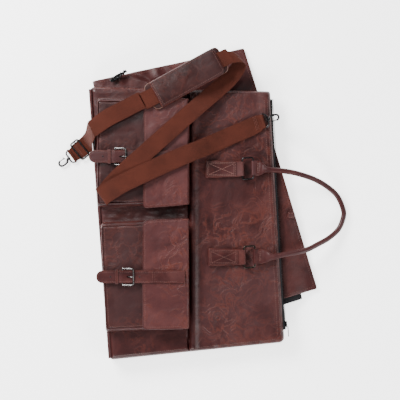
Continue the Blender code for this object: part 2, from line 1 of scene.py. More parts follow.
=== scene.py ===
"""The looks of a folded leather garment bag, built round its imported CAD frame.

Plan coordinates are millimetres in the bag's own plan, as in the CAD source: +X from the fold to
the zip, +Y from foot to head, +Z up. world() turns them into Blender's metres.
"""

import json
import math

import bmesh
import bpy
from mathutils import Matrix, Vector, noise
from mathutils.bvhtree import BVHTree

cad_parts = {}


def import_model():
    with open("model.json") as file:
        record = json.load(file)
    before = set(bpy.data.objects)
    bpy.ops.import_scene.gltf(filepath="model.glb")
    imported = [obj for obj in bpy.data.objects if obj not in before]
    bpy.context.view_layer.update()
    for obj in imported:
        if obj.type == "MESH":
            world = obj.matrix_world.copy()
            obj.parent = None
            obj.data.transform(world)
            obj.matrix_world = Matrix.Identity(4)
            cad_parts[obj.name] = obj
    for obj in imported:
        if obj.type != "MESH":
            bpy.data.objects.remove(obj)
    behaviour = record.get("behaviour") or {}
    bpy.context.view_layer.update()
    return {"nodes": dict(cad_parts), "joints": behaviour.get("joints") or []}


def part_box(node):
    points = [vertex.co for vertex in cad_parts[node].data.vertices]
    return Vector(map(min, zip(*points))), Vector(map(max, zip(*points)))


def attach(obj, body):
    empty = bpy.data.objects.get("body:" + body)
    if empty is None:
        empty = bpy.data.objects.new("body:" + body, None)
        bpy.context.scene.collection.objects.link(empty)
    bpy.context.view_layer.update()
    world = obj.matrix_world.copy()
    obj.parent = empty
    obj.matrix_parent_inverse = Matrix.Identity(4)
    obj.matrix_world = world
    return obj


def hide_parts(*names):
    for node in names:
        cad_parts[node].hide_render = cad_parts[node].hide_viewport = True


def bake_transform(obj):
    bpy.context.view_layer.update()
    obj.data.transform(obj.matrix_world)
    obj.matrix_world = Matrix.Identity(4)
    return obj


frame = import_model()
MM = 0.001
PLAN_CENTRE = Vector((21.7, 44.5, 0))
JOINTS = {joint["name"]: joint for joint in frame["joints"]}


def world(point):
    return (Vector(point) - PLAN_CENTRE) * MM


def plan(point):
    return Vector(point) / MM + PLAN_CENTRE


def corners_of(node):
    """The four plan corners of a CAD slab: foot left, foot right, head right, head left."""
    points = [plan(vertex.co).to_2d() for vertex in frame["nodes"][node].data.vertices]
    ways = ((-1, -1), (1, -1), (1, 1), (-1, 1))
    return [max(points, key=lambda p, way=way: p.x * way[0] + p.y * way[1]) for way in ways]


def heights_of(node):
    low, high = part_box(node)
    return low.z / MM, high.z / MM


def box_of(node):
    """The low and high corners of a CAD node's box, in plan millimetres."""
    low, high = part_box(node)
    return plan(low), plan(high)


def joint_place(name):
    """A joint's place in plan millimetres and the way that its axis points. A slide has no place."""
    joint = JOINTS[name]
    return plan(joint.get("pos_m", (0, 0, 0))), Vector(joint["axis"])


# ---------------------------------------------------------------- camera, light and floor

VIEW_CENTRE = (14.5, 47.5)
VIEW_WIDTH = 0.88
VIEW_ROLL = math.radians(-4.2)
CAMERA_HEIGHT = 3.0
SUBJECT_HEIGHT = 0.045
LIGHTS = (
    ("key_light", (-1.35, 1.55, 1.35), (1.3, 0.9), 170),
    ("fill_light", (1.9, -1.2, 1.3), (1.8, 1.2), 62),
    ("rim_light", (-0.9, -1.9, 1.1), (1.4, 0.6), 62),
    ("gloss_light", (-0.45, 0.62, 2.2), (0.5, 0.25), 8),
)
SKY_STRENGTH = 0.30
FLOOR_SIZE = 14
FLOOR_DROP = 0.0006
FLOOR_SHADE = 0.93
FLOOR_GLOW = 2.0


def make_camera():
    data = bpy.data.cameras.new("camera")
    data.sensor_width = 36
    data.lens = data.sensor_width * CAMERA_HEIGHT / VIEW_WIDTH
    camera = bpy.data.objects.new("camera", data)
    bpy.context.scene.collection.objects.link(camera)
    centre = world((*VIEW_CENTRE, 0))
    camera.location = (centre.x, centre.y, CAMERA_HEIGHT + SUBJECT_HEIGHT)
    camera.rotation_euler = (0, 0, VIEW_ROLL)
    bpy.context.scene.camera = camera


def soft_light(name, place, size, power):
    """A rectangle of light, in metres and watts, that faces the bag."""
    data = bpy.data.lights.new(name, "AREA")
    data.shape = "RECTANGLE"
    data.size, data.size_y = size
    data.energy = power
    light = bpy.data.objects.new(name, data)
    light.location = place
    light.rotation_euler = (-Vector(place)).to_track_quat("-Z", "Y").to_euler()
    bpy.context.scene.collection.objects.link(light)


def make_studio():
    for light in LIGHTS:
        soft_light(*light)
    sky = bpy.data.worlds.new("studio")
    sky.use_nodes = True
    sky.node_tree.nodes["Background"].inputs["Color"].default_value = (1, 1, 1, 1)
    sky.node_tree.nodes["Background"].inputs["Strength"].default_value = SKY_STRENGTH
    bpy.context.scene.world = sky
    bpy.ops.mesh.primitive_plane_add(size=FLOOR_SIZE, location=(0, 0, -FLOOR_DROP))
    floor = bpy.context.object
    floor.name = "floor"
    look = Look("pale_floor")
    look.preset({
        "Base Color": (FLOOR_SHADE, FLOOR_SHADE, FLOOR_SHADE, 1), "Roughness": 0.9, "Specular IOR Level": 0.1,
        "Emission Color": (1, 1, 1, 1), "Emission Strength": FLOOR_GLOW,
    })
    floor.data.materials.append(look.material)


# ---------------------------------------------------------------- materials


class Look:
    """A material's node tree, with short ways to add to it."""

    def __init__(self, name):
        self.material = bpy.data.materials.new(name)
        self.material.use_nodes = True
        self.tree = self.material.node_tree
        self.shader = self.tree.nodes["Principled BSDF"]

    def node(self, kind, inputs=(), **settings):
        made = self.tree.nodes.new("ShaderNode" + kind)
        for key, setting in settings.items():
            setattr(made, key, setting)
        for key, entry in dict(inputs).items():
            if isinstance(entry, bpy.types.NodeSocket):
                self.tree.links.new(entry, made.inputs[key])
            else:
                made.inputs[key].default_value = entry
        return made

    def math(self, operation, first, second=0.0, clamp=False):
        made = self.node("Math", {0: first, 1: second}, operation=operation, use_clamp=clamp)
        return made.outputs[0]

    def noise(self, place, scale, detail=3.0, rough=0.55, distortion=0.0):
        return self.node("TexNoise", {
            "Vector": place, "Scale": scale, "Detail": detail, "Roughness": rough, "Distortion": distortion,
        }).outputs["Fac"]

    def ramp(self, factor, stops):
        made = self.node("ValToRGB", {"Fac": factor})
        ramp = made.color_ramp
        while len(ramp.elements) < len(stops):
            ramp.elements.new(0.5)
        for element, (place, colour) in zip(ramp.elements, stops):
            element.position = place
            element.color = (*colour, 1)
        return made.outputs["Color"]

    def mix(self, factor, first, second, blend="MIX"):
        made = self.node("Mix", data_type="RGBA", blend_type=blend)
        for index, entry in ((0, factor), (6, first), (7, second)):
            if isinstance(entry, bpy.types.NodeSocket):
                self.tree.links.new(entry, made.inputs[index])
            else:
                made.inputs[index].default_value = (*entry, 1) if index else entry
        return made.outputs[2]

    def spread(self, value, low, high, to_low, to_high):
        return self.node("MapRange", {
            "Value": value, "From Min": low, "From Max": high, "To Min": to_low, "To Max": to_high,
        }).outputs["Result"]

    def bump(self, height, distance, strength=1.0, under=None):
        inputs = {"Height": height, "Distance": distance, "Strength": strength}
        if under is not None:
            inputs["Normal"] = under
        return self.node("Bump", inputs).outputs["Normal"]

    def stripes(self, value, rate):
        """Rounded ridges along a value, from 0 in a valley to 1 on a crest."""
        return self.math("ABSOLUTE", self.math("SINE", self.math("MULTIPLY", value, rate)))

    def veins(self, cloud, width):
        """Thin lines where a noise crosses its middle."""
        away = self.math("ABSOLUTE", self.math("SUBTRACT", cloud, 0.5))
        return self.spread(away, 0.0, width, 1.0, 0.0)

    def place(self, shift=0.0):
        """Points of the object, moved by a shift so that each material has its own pattern."""
        coordinates = self.node("TexCoord").outputs["Object"]
        moved = {"Vector": coordinates, "Location": (shift, shift * 0.7, shift * 0.3)}
        return self.node("Mapping", moved).outputs[0]

    def preset(self, levels):
        for socket, level in levels.items():
            self.shader.inputs[socket].default_value = level

    def finish(self, colour, roughness, normal):
        for socket, entry in (("Base Color", colour), ("Roughness", roughness), ("Normal", normal)):
            if isinstance(entry, bpy.types.NodeSocket):
                self.tree.links.new(entry, self.shader.inputs[socket])
            else:
                self.shader.inputs[socket].default_value = entry
        return self.material


def scaled(colour, by):
    return tuple(channel * by for channel in colour)


LEATHER_DARK = (0.0150, 0.0018, 0.0020)
LEATHER_MEAN = (0.0350, 0.0056, 0.0053)
LEATHER_LIGHT = (0.0640, 0.0150, 0.0130)
# The mauve of the leather's highlights, painted into its colour.
LEATHER_SHEEN_MAUVE = (0.0520, 0.0185, 0.0195)
LEATHER_EDGE = (0.0820, 0.0180, 0.0120)


def leather(name, shift, crinkle=0.5, tone=1.0, gloss=0.0, mauve=0.08):
    """Glazed, mottled leather: cloudy colour with a painted mauve highlight in cloudy patches, embossed
    veins, a fine grain and worn edges.
    """
    look = Look(name)
    place = look.place(shift)
    cloud = look.noise(place, 11.0, 5.0, 0.6, 0.9)
    haze = look.noise(place, 4.2, 3.0, 0.5, 0.6)
    shade = [scaled(colour, tone) for colour in (LEATHER_DARK, LEATHER_MEAN, LEATHER_LIGHT)]
    colour = look.ramp(cloud, ((0.34, shade[0]), (0.5, shade[1]), (0.66, shade[2])))
    # Painted highlight: cloudy patches of the mauve that the glazed leather shows where it catches the light,
    # mixed into its colour; mauve sets their share.
    hazy = look.spread(haze, 0.42, 0.64, mauve, max(0.75, mauve + 0.2))
    colour = look.mix(hazy, colour, scaled(LEATHER_SHEEN_MAUVE, tone))
    vein = look.veins(look.noise(place, 27.0, 4.0, 0.55, 1.3), 0.06)
    fine_vein = look.veins(look.noise(place, 85.0, 2.0, 0.5, 1.0), 0.09)
    where = look.spread(look.noise(place, 7.0, 2.0), 0.42, 0.62, 0.15, 1.0)
    veins = look.math("MULTIPLY", look.math("ADD", vein, look.math("MULTIPLY", fine_vein, 0.3)), where)
    veins = look.math("MULTIPLY", veins, crinkle)
    colour = look.mix(look.math("MULTIPLY", veins, 0.58, True), colour, LEATHER_EDGE)
    wear = look.node("Attribute", attribute_name="wear").outputs["Fac"]
    patchy = look.spread(look.noise(place, 60.0, 4.0), 0.35, 0.65, 0.1, 0.8)
    rubbed = look.math("MULTIPLY", wear, patchy, True)
    colour = look.mix(rubbed, colour, LEATHER_EDGE)
    roughness = look.spread(cloud, 0.3, 0.7, 0.40 - gloss, 0.56 - gloss)
    cells = look.node("TexVoronoi", {"Vector": place, "Scale": 950.0}, feature="SMOOTH_F1")
    grain = cells.outputs["Distance"]
    pores = look.noise(place, 420.0, 3.0, 0.6)
    fine = look.math("ADD", look.math("MULTIPLY", grain, 0.6), pores)
    normal = look.bump(fine, 0.00016, 0.55)
    normal = look.bump(veins, 0.0010, 0.6, normal)
    rolling = look.noise(place, 26.0, 3.0, 0.5, 0.4)
    normal = look.bump(rolling, 0.0036, 0.6, normal)
    look.preset({"Specular IOR Level": 0.19, "Coat Weight": 0.08, "Coat Roughness": 0.22})
    return look.finish(colour, roughness, normal)


def woven(name, colour, rib, yarn, sheen, roughness, edge=19.0):
    """Woven webbing: ribs across it, yarns along it with painted shade in their valleys, and firm edges, from
    the piece's own cloth places.
    """
    look = Look(name)
    cloth = look.node("Attribute", attribute_name="cloth").outputs["Vector"]
    split = look.node("SeparateXYZ", {"Vector": cloth})
    across, along = split.outputs["X"], split.outputs["Y"]
    ribs = look.stripes(along, math.pi / rib)
    lean = look.math("ADD", across, look.math("MULTIPLY", along, 0.5))
    yarns = look.stripes(lean, math.pi / yarn)
    weave = look.math("MULTIPLY", ribs, look.math("ADD", yarns, 0.4))
    place = look.place(3.0)
    cloud = look.noise(place, 22.0, 4.0)
    fuzz = look.noise(place, 700.0, 3.0)
    dark = scaled(colour, 0.72)
    tint = look.ramp(cloud, ((0.3, dark), (0.5, colour), (0.7, scaled(colour, 1.16))))
    # Painted shade: the colour darkens in the low valleys of the weave.
    valley = look.spread(weave, 0.0, 0.8, 0.45, 0.0)
    tint = look.mix(valley, tint, scaled(colour, 0.5))
    rim = look.spread(look.math("ABSOLUTE", across), edge - 2.6, edge - 1.6, 0.0, 0.35)
    tint = look.mix(rim, tint, dark)
    height = look.math("ADD", weave, look.math("MULTIPLY", fuzz, 0.5))
    look.preset({"Sheen Weight": sheen, "Sheen Roughness": 0.5, "Specular IOR Level": 0.12})
    return look.finish(tint, roughness, look.bump(height, 0.00035, 0.9))


def lining_cloth(name, colour, shine):
    """Black nylon lining: a fine plain weave with a slight shine and soft puckers."""
    look = Look(name)
    place = look.place(5.0)
    split = look.node("SeparateXYZ", {"Vector": place})
    weave = look.math("MULTIPLY", *(look.stripes(split.outputs[axis], 4200.0) for axis in ("X", "Y")))
    cloud = look.noise(place, 30.0, 4.0)
    tint = look.ramp(cloud, ((0.35, scaled(colour, 0.6)), (0.7, scaled(colour, 1.8))))
    pucker = look.noise(place, 60.0, 3.0, 0.6, 0.6)
    normal = look.bump(weave, 0.00012, 0.6)
    normal = look.bump(pucker, 0.0012, 0.5, normal)
    look.preset({"Specular IOR Level": 0.18})
    return look.finish(tint, look.spread(cloud, 0.3, 0.7, shine, shine + 0.18), normal)


def metal(name, colour, low, high):
    """Plated metal: fine scratches and small changes of shine and tone."""
    look = Look(name)
    place = look.place(1.3)
    cloud = look.noise(place, 90.0, 4.0)
    drawn = look.node("Mapping", {"Vector": place, "Scale": (1.0, 14.0, 6.0)}).outputs[0]
    scratch = look.node("TexNoise", {"Vector": drawn, "Scale": 260.0, "Detail": 3.0}).outputs["Fac"]
    tint = look.ramp(cloud, ((0.3, scaled(colour, 0.62)), (0.62, colour)))
    look.preset({"Metallic": 1.0})
    return look.finish(tint, look.spread(scratch, 0.3, 0.7, low, high), look.bump(scratch, 0.00008, 0.5))


def thread(name, colour):
    """Twisted thread, also used for the raw cut edge of leather."""
    look = Look(name)
    place = look.place(2.0)
    twist = look.noise(place, 1500.0, 2.0)
    tint = look.ramp(look.noise(place, 45.0, 2.0), ((0.3, scaled(colour, 0.7)), (0.65, colour)))
    return look.finish(tint, 0.62, look.bump(twist, 0.0002, 0.8))


PANEL_LEATHER = leather("panel_leather", 0.0, crinkle=0.9, tone=0.70)
POCKET_LEATHER = leather("pocket_leather", 1.7, crinkle=0.5, tone=0.50, mauve=0.2)
# The flap's leather is a lit copy of the same leather: a lighter tone and a larger share of painted mauve
# highlight.
FLAP_LEATHER = leather("flap_leather", 2.9, crinkle=1.0, tone=1.02, mauve=0.42)
TRIM_LEATHER = leather("trim_leather", 4.1, crinkle=0.3, tone=0.80)
PAD_LEATHER = leather("pad_leather", 5.3, crinkle=0.3, tone=0.40, gloss=0.02, mauve=0.0)
LEAF_LEATHER = leather("leaf_leather", 6.6, crinkle=0.55, tone=0.84)
GRIP_LEATHER = leather("grip_leather", 7.2, crinkle=0.35, tone=0.84, gloss=0.06)
WEBBING = woven("strap_webbing_cloth", (0.054, 0.0125, 0.0072), 1.9, 1.3, 0.02, 0.9)
BAND = woven("band_webbing_cloth", (0.010, 0.010, 0.012), 1.8, 1.2, 0.05, 0.75, edge=15.0)
LINING = lining_cloth("black_lining", (0.0045, 0.0045, 0.0055), 0.5)
GUNMETAL = metal("gunmetal_plate", (0.034, 0.032, 0.033), 0.22, 0.4)
NICKEL = metal("nickel_plate", (0.155, 0.15, 0.148), 0.2, 0.36)
BRASSY = metal("worn_gunmetal", (0.050, 0.043, 0.036), 0.2, 0.36)
THREAD = thread("stitch_thread", (0.105, 0.032, 0.024))
THREAD_PALE = thread("pale_stitch_thread", (0.17, 0.072, 0.058))
RAW_EDGE = thread("raw_leather_edge", (0.085, 0.030, 0.016))


# ---------------------------------------------------------------- mesh helpers


def face_outwards(mesh):
    """Turns every face of a closed mesh outwards."""
    shape = bmesh.new()
    shape.from_mesh(mesh)
    bmesh.ops.recalc_face_normals(shape, faces=shape.faces[:])
    shape.to_mesh(mesh)
    shape.free()


def add_piece(name, points, faces, surface, body, stands_for=(), wear=None, cloth=None, smooth=40):
    """One visible piece: its points are plan millimetres, and it rides on a CAD body."""
    mesh = bpy.data.meshes.new(name)
    mesh.from_pydata([world(point) for point in points], [], faces)
    mesh.validate()
    face_outwards(mesh)
    mesh.shade_smooth()
    mesh.set_sharp_from_angle(angle=math.radians(smooth))
    if wear is not None:
        mesh.attributes.new("wear", "FLOAT", "POINT").data.foreach_set("value", wear)
    if cloth is not None:
        flat = [number for place in cloth for number in place]
        mesh.attributes.new("cloth", "FLOAT_VECTOR", "POINT").data.foreach_set("vector", flat)
    mesh.materials.append(surface)
    made = bpy.data.objects.new(name, mesh)
    bpy.context.scene.collection.objects.link(made)
    if body:
        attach(made, body)
    if stands_for:
        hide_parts(*stands_for)
    return made


def spaced(length, roll, step):
    """Distances across a width, close together where its two edges roll over."""
    turn = [roll * (1 - math.cos(math.pi / 2 * i / 5)) for i in range(5)]
    inner = length - 2 * roll
    count = max(1, round(inner / step))
    middle = [roll + inner * i / count for i in range(count + 1)]
    return [*turn, *middle, *(length - distance for distance in reversed(turn))]


def valued(height, x, y):
    return height(x, y) if callable(height) else height


def rolled(distance, roll):
    """How far up, 0 to 1, a rounded edge has come at this distance from its rim."""
    return math.sqrt(max(0.0, 1 - (1 - min(distance / roll, 1)) ** 2))


def heading(route, index, closed):
    """The unit vector along a route at one of its points."""
    last = len(route) - 1
    before = route[index - 1] if closed or index else route[index]
    after = route[0 if index == last else index + 1] if closed or index < last else route[index]
    return (after - before).normalized()


def square_to(ahead):
    """The unit vectors to the side of a direction and above it."""
    side = ahead.cross(Vector((0, 0, 1)))
    side = side.normalized() if side.length > 1e-4 else Vector((1, 0, 0))
    return side, side.cross(ahead)


def leftwards(way):
    return Vector((-way.y, way.x, 0)).normalized()


def tube_faces(count, sides, closed):
    """Faces of a tube: count rings of points with this many sides, and two caps unless it is closed."""
    faces = []
    for index in range(count if closed else count - 1):
        here, there = index * sides, (index + 1) % count * sides
        for turn in range(sides):
            beside = (turn + 1) % sides
            faces.append((here + turn, there + turn, there + beside, here + beside))
    if not closed:
        faces.append(tuple(range(sides)))
        faces.append(tuple((count - 1) * sides + turn for turn in reversed(range(sides))))
    return faces


def slab_faces(count, across):
    """Faces of a closed strip: count rows of across + 1 upper points, and then its lower points."""
    width = across + 1
    under = count * width
    faces = []
    for i in range(count - 1):
        for j in range(across):
            a, b = i * width + j, i * width + j + 1
            c, d = b + width, a + width
            faces.append((a, b, c, d))
            faces.append((under + a, under + d, under + c, under + b))
        for a in (i * width, i * width + across):
            d = a + width
            side = (a, d, under + d, under + a)
            faces.append(side if a == i * width else (a, *reversed(side[1:])))
    for i in (0, count - 1):
        for j in range(across):
            a, b = i * width + j, i * width + j + 1
            faces.append((a, under + a, under + b, b) if i == 0 else (a, b, under + b, under + a))
    return faces


def cushion(name, corners, low, top, surface, body, roll=6.0, step=4.0, radii=(8, 8, 8, 8),
            stands_for=(), worn=5.0, **more):
    """A closed soft slab over a four-cornered plan: rounded corners, edges that roll down to its low side."""
    foot_left, foot_right, head_right, head_left = (Vector(corner) for corner in corners)
    width = ((foot_right - foot_left).length + (head_right - head_left).length) / 2
    length = ((head_left - foot_left).length + (head_right - foot_right).length) / 2
    across, along = spaced(width, roll, step), spaced(length, roll, step)
    tops, lows, wear = [], [], []
    for v in along:
        for u in across:
            side_u, side_v = min(u, width - u), min(v, length - v)
            radius = radii[(0 if u < width / 2 else 1) if v < length / 2 else (3 if u < width / 2 else 2)]
            near_u, near_v = side_u, side_v
            if side_u < radius and side_v < radius:
                s, t = 1 - side_u / radius, 1 - side_v / radius
                near_u = radius * (1 - s * math.sqrt(1 - t * t / 2))
                near_v = radius * (1 - t * math.sqrt(1 - s * s / 2))
            at_u = (near_u if u < width / 2 else width - near_u) / width
            at_v = (near_v if v < length / 2 else length - near_v) / length
            place = foot_left.lerp(foot_right, at_u).lerp(head_left.lerp(head_right, at_u), at_v)
            rise = 1.0
            for side in (side_u, side_v):
                rise *= rolled(side, roll)
            floor, ceiling = valued(low, *place), valued(top, *place)
            tops.append((*place, floor + (ceiling - floor) * rise))
            lows.append((*place, floor))
            wear.append(max(0.0, 1 - min(side_u, side_v) / worn) if worn else 0.0)
    columns, rows = len(across), len(along)
    points = list(tops)
    under = {}
    for row in range(rows):
        for column in range(columns):
            index = row * columns + column
            if row in (0, rows - 1) or column in (0, columns - 1):
                under[index] = index
            else:
                under[index] = len(points)
                points.append(lows[index])
                wear.append(0.0)
    faces = []
    for row in range(rows - 1):
        for column in range(columns - 1):
            a = row * columns + column
            b, c, d = a + 1, a + columns + 1, a + columns
            faces.append((a, b, c, d))
            faces.append((under[a], under[d], under[c], under[b]))
    return add_piece(name, points, faces, surface, body, stands_for, wear, **more)


def smooth_route(route, steps, closed=False):
    """Points along a Catmull-Rom curve through the route's own points."""
    route = [Vector(point) for point in route]
    if closed:
        ends = [route[-1], *route, route[0], route[1]]
    else:
        ends = [route[0] * 2 - route[1], *route, route[-1] * 2 - route[-2]]
    found = []
    for before, here, there, after in zip(ends, ends[1:], ends[2:], ends[3:]):
        for step in range(steps):
            t = step / steps
            found.append(
                0.5 * (2 * here + (there - before) * t
                       + (2 * before - 5 * here + 4 * there - after) * t ** 2
                       + (3 * here - before - 3 * there + after) * t ** 3)
            )
    return found if closed else [*found, route[-1]]


def rounded(route, radius, closed=True, steps=5):
    """The route with each corner turned into a short bend."""
    route = [Vector(point) for point in route]
    found = []
    for index, corner in enumerate(route):
        if not closed and index in (0, len(route) - 1):
            found.append(corner)
            continue
        before, after = route[index - 1], route[(index + 1) % len(route)]
        reach = min(radius, (before - corner).length * 0.48, (after - corner).length * 0.48)
        start = corner + (before - corner).normalized() * reach
        end = corner + (after - corner).normalized() * reach
        for step in range(steps + 1):
            t = step / steps
            found.append(start * (1 - t) ** 2 + corner * 2 * t * (1 - t) + end * t * t)
    return found


def sweep(name, route, section, surface, body, closed=False, sides=14, stands_for=()):
    """A solid swept along a route. section(t) gives its half width, half height and squareness."""
    route = [Vector(point) for point in route]
    count = len(route)
    points, wear = [], []
    for index, place in enumerate(route):
        side, rise = square_to(heading(route, index, closed))
        half_width, half_height, square = section(index / max(1, count - 1))
        for turn in range(sides):
            angle = math.tau * turn / sides
            x, y = math.cos(angle), math.sin(angle)
            x = math.copysign(abs(x) ** (2 / square), x)
            y = math.copysign(abs(y) ** (2 / square), y)
            points.append(place + side * x * half_width + rise * y * half_height)
            wear.append(max(0.0, abs(x) - 0.8) * 3)
    return add_piece(name, points, tube_faces(count, sides, closed), surface, body, stands_for, wear)


def even(half_width, half_height=None, square=2.0):
    """A section that stays the same all along: 2 is round, and more is squarer."""
    return lambda t: (half_width, half_height or half_width, square)


def band_round(name, route, half_width, way, thickness, surface, body, closed=True, stands_for=()):
    """A flat band of leather bent along a route, its width lying along way."""
    way = Vector(way).normalized()
    route = [Vector(point) for point in route]
    points = []
    rim = min(0.8, thickness / 2)
    profile = (
        (-1, 0), (-1 + rim / half_width, 1), (1 - rim / half_width, 1), (1, 0),
        (1 - rim / half_width, -1), (-1 + rim / half_width, -1),
    )
    for index, place in enumerate(route):
        out = way.cross(heading(route, index, closed)).normalized()
        for across, up in profile:
            points.append(place + way * across * half_width + out * up * thickness / 2)
    sides = len(profile)
    wear = [0.0 if place % sides in (1, 2) else 0.35 for place in range(len(points))]
    return add_piece(name, points, tube_faces(len(route), sides, closed), surface, body, stands_for, wear)


class Stitches:
    """Rows of stitches, gathered into one piece."""

    def __init__(self):
        self.points = []
        self.faces = []

    def one(self, start, end, radius):
        """A short stitch: a thin spindle that dips into the leather at both ends."""
        start, end = Vector(start), Vector(end)
        side, rise = square_to((end - start).normalized())
        base = len(self.points)
        stations = ((0.0, 0.35, -0.5), (0.25, 1.0, 0.0), (0.75, 1.0, 0.0), (1.0, 0.35, -0.5))
        for along, size, sink in stations:
            middle = start.lerp(end, along) + rise * sink * radius
            for turn in range(5):
                angle = math.tau * turn / 5
                self.points.append(
                    middle + (side * math.cos(angle) + rise * math.sin(angle)) * radius * size
                )
        for ring in range(3):
            for turn in range(5):
                a, b = base + ring * 5 + turn, base + ring * 5 + (turn + 1) % 5
                self.faces.append((a, a + 5, b + 5, b))
        self.faces.append(tuple(base + turn for turn in range(5)))
        self.faces.append(tuple(base + 15 + turn for turn in reversed(range(5))))

    def row(self, route, height, pitch=4.6, length=3.3, radius=0.42, lift=0.15):
        """Stitches along a route of plan points, on a surface of the given height."""
        route = [Vector(point[:2]) for point in route]
        rest = pitch / 2
        for start, end in zip(route, route[1:]):
            run = (end - start).length
            if run < 1e-6:
                continue
            ahead = (end - start) / run
            while rest < run:
                ends = [start + ahead * (rest + sign * length / 2) for sign in (-1, 1)]
                self.one(*((*point, valued(height, *point) + lift) for point in ends), radius)
                rest += pitch
            rest -= run

    def make(self, name, surface, body):
        return add_piece(name, self.points, self.faces, surface, body, smooth=60)


def wrinkle(x, y, scale, seed=0.0):
    """Smooth noise from -1 to 1 over the plan, with features about scale millimetres long."""
    return noise.noise(Vector((x / scale + seed, y / scale - seed, seed * 1.7)))


def creases(x, y, scale, seed=0.0):
    """Sharp-bottomed creases from 0, in a crease, to 1."""
    value = noise.noise(Vector((x / scale + seed, y / scale + seed * 0.3, seed)))
    return min(1.0, abs(value) * 3.2)


def bell(distance, width):
    """A smooth bump, 1 at no distance."""
    return math.exp(-((distance / width) ** 2))


def ease(t):
    """A smooth step: 0 below 0 and 1 above 1."""
    t = min(max(t, 0.0), 1.0)
    return t * t * (3 - 2 * t)


def inset(corners, by):
    """The corners moved inwards: by is one distance, or four for foot, right, head and left."""
    foot, right, head, left = (by,) * 4 if isinstance(by, (int, float)) else by
    a, b, c, d = (Vector(corner) for corner in corners)
    across, along = (b - a).normalized(), (d - a).normalized()
    return [a + across * left + along * foot, b - across * right + along * foot,
            c - across * right - along * head, d + across * left - along * head]


def outline(corners, radius, steps=6):
    return rounded([(*corner, 0) for corner in corners], radius, True, steps)


# ---------------------------------------------------------------- the bag's own lines

PANEL = corners_of("front_shell")
POCKETS = {row: corners_of("pocket_body_" + row) for row in ("upper", "lower")}
FLAPS = {row: corners_of("pocket_flap_" + row) for row in ("upper", "lower")}
POCKET_LOW, POCKET_HIGH = heights_of("pocket_body_lower")
PANEL_LOW = heights_of("front_shell")[0]
PANEL_TOP = 40.0
PANEL_ROLL = 11.0
CREASE_RIDGE = 6.4
FLAP_HIGH = heights_of("pocket_flap_lower")[1]
BELT_HIGH = heights_of("flap_belt_lower")[1]
CREASE_AT, CREASE_ALONG = joint_place("flap_lower_hinge")
CREASE_LEAN = CREASE_ALONG.x / CREASE_ALONG.y


def crease_x(y):
    """Where the flaps' crease runs at this height up the plan."""
    return CREASE_AT.x - 0.5 + CREASE_LEAN * (y - CREASE_AT.y)


def edge_y(corners, x, head=True):
    """A slab's head or foot edge at this x."""
    a, b = (corners[3], corners[2]) if head else (corners[0], corners[1])
    return a[1] + (b[1] - a[1]) * (x - a[0]) / (b[0] - a[0])


def edge_x(corners, y, right=True):
    """A slab's right or left edge at this y."""
    a, b = (corners[1], corners[2]) if right else (corners[0], corners[3])
    return a[0] + (b[0] - a[0]) * (y - a[1]) / (b[1] - a[1])


# ---------------------------------------------------------------- front panel


def panel_face(x, y):
    """The front panel's upper face, without its rolled edges."""
    past = x - crease_x(y)
    height = PANEL_TOP
    if past > -6:
        height += CREASE_RIDGE * bell(past - 8.0, 9.0)
        height -= 9.0 * bell(past + 2.2, 2.6)
    calm = ease((x - 20) / 25) * ease((175 - x) / 20)
    height -= 1.3 * (1 - wrinkle(x, y, 95, 1.3)) * calm
    height -= 0.8 * (1 - wrinkle(x, y, 38, 4.1)) * calm
    low_right = ease((60 - y) / 120) * ease((x - 5) / 30)
    height -= 1.3 * (1 - creases(x, y, 46, 2.2)) * low_right
    height -= 0.8 * (1 - creases(x, y, 21, 7.2)) * low_right
    foot = ease((-222 - y) / 25)
    fold = x + 0.55 * (y + 260)
    height -= foot * 2.6 * bell(fold - 12, 10) * ease((60 - x) / 40)
    height -= foot * 0.8 * (1 - wrinkle(x, y, 34, 9.0))
    head = ease((y - edge_y(PANEL, x) + 46) / 24) * ease((crease_x(y) - x) / 30)
    height -= head * 1.5 * (1 - wrinkle(x * 0.7, y, 30, 3.0))
    gap = ease((y - 12) / 8) * ease((52 - y) / 8) * ease((crease_x(y) - 6 - x) / 12)
    height -= gap * 1.6 * (1 - wrinkle(x, y * 2, 17, 6.0))
    return height


def make_front_panel():
    panel = cushion(
        "front_panel", PANEL, PANEL_LOW,
        lambda x, y: min(panel_face(x, y), PANEL_TOP + CREASE_RIDGE) + edge_lip(x, y),
        PANEL_LEATHER, "front_half", roll=PANEL_ROLL, step=3.4, radii=(7, 12, 6, 9),
        stands_for=("front_shell",), worn=3.5,
    )
    seams = Stitches()
    for inwards in (8.5, 15.0):
        line = [Vector((edge_x(PANEL, y) - inwards, y)) for y in (-262, -130, 0, 130, 258)]
        seams.row(line, edge_height, radius=0.38)
    foot = [Vector((x, edge_y(PANEL, x, head=False) + 9)) for x in (-196, -80, 40, 160)]
    seams.row(foot, edge_height, radius=0.34)
    seams.make("panel_stitches", THREAD, "front_half")


def edge_lip(x, y):
    """The two slight grooves where the right edge is turned in and sewn."""
    from_edge = edge_x(PANEL, y) - x
    return -0.7 * bell(from_edge - 11.7, 1.7) - 0.4 * bell(from_edge - 18, 2.0)


def edge_height(x, y):
    """The panel's height near its edges, where it rolls down."""
    near = min(
        edge_x(PANEL, y) - x, x - edge_x(PANEL, y, right=False),
        edge_y(PANEL, x) - y, y - edge_y(PANEL, x, head=False),
    )
    return PANEL_LOW + (panel_face(x, y) + edge_lip(x, y) - PANEL_LOW) * rolled(near, PANEL_ROLL)


# ---------------------------------------------------------------- pockets


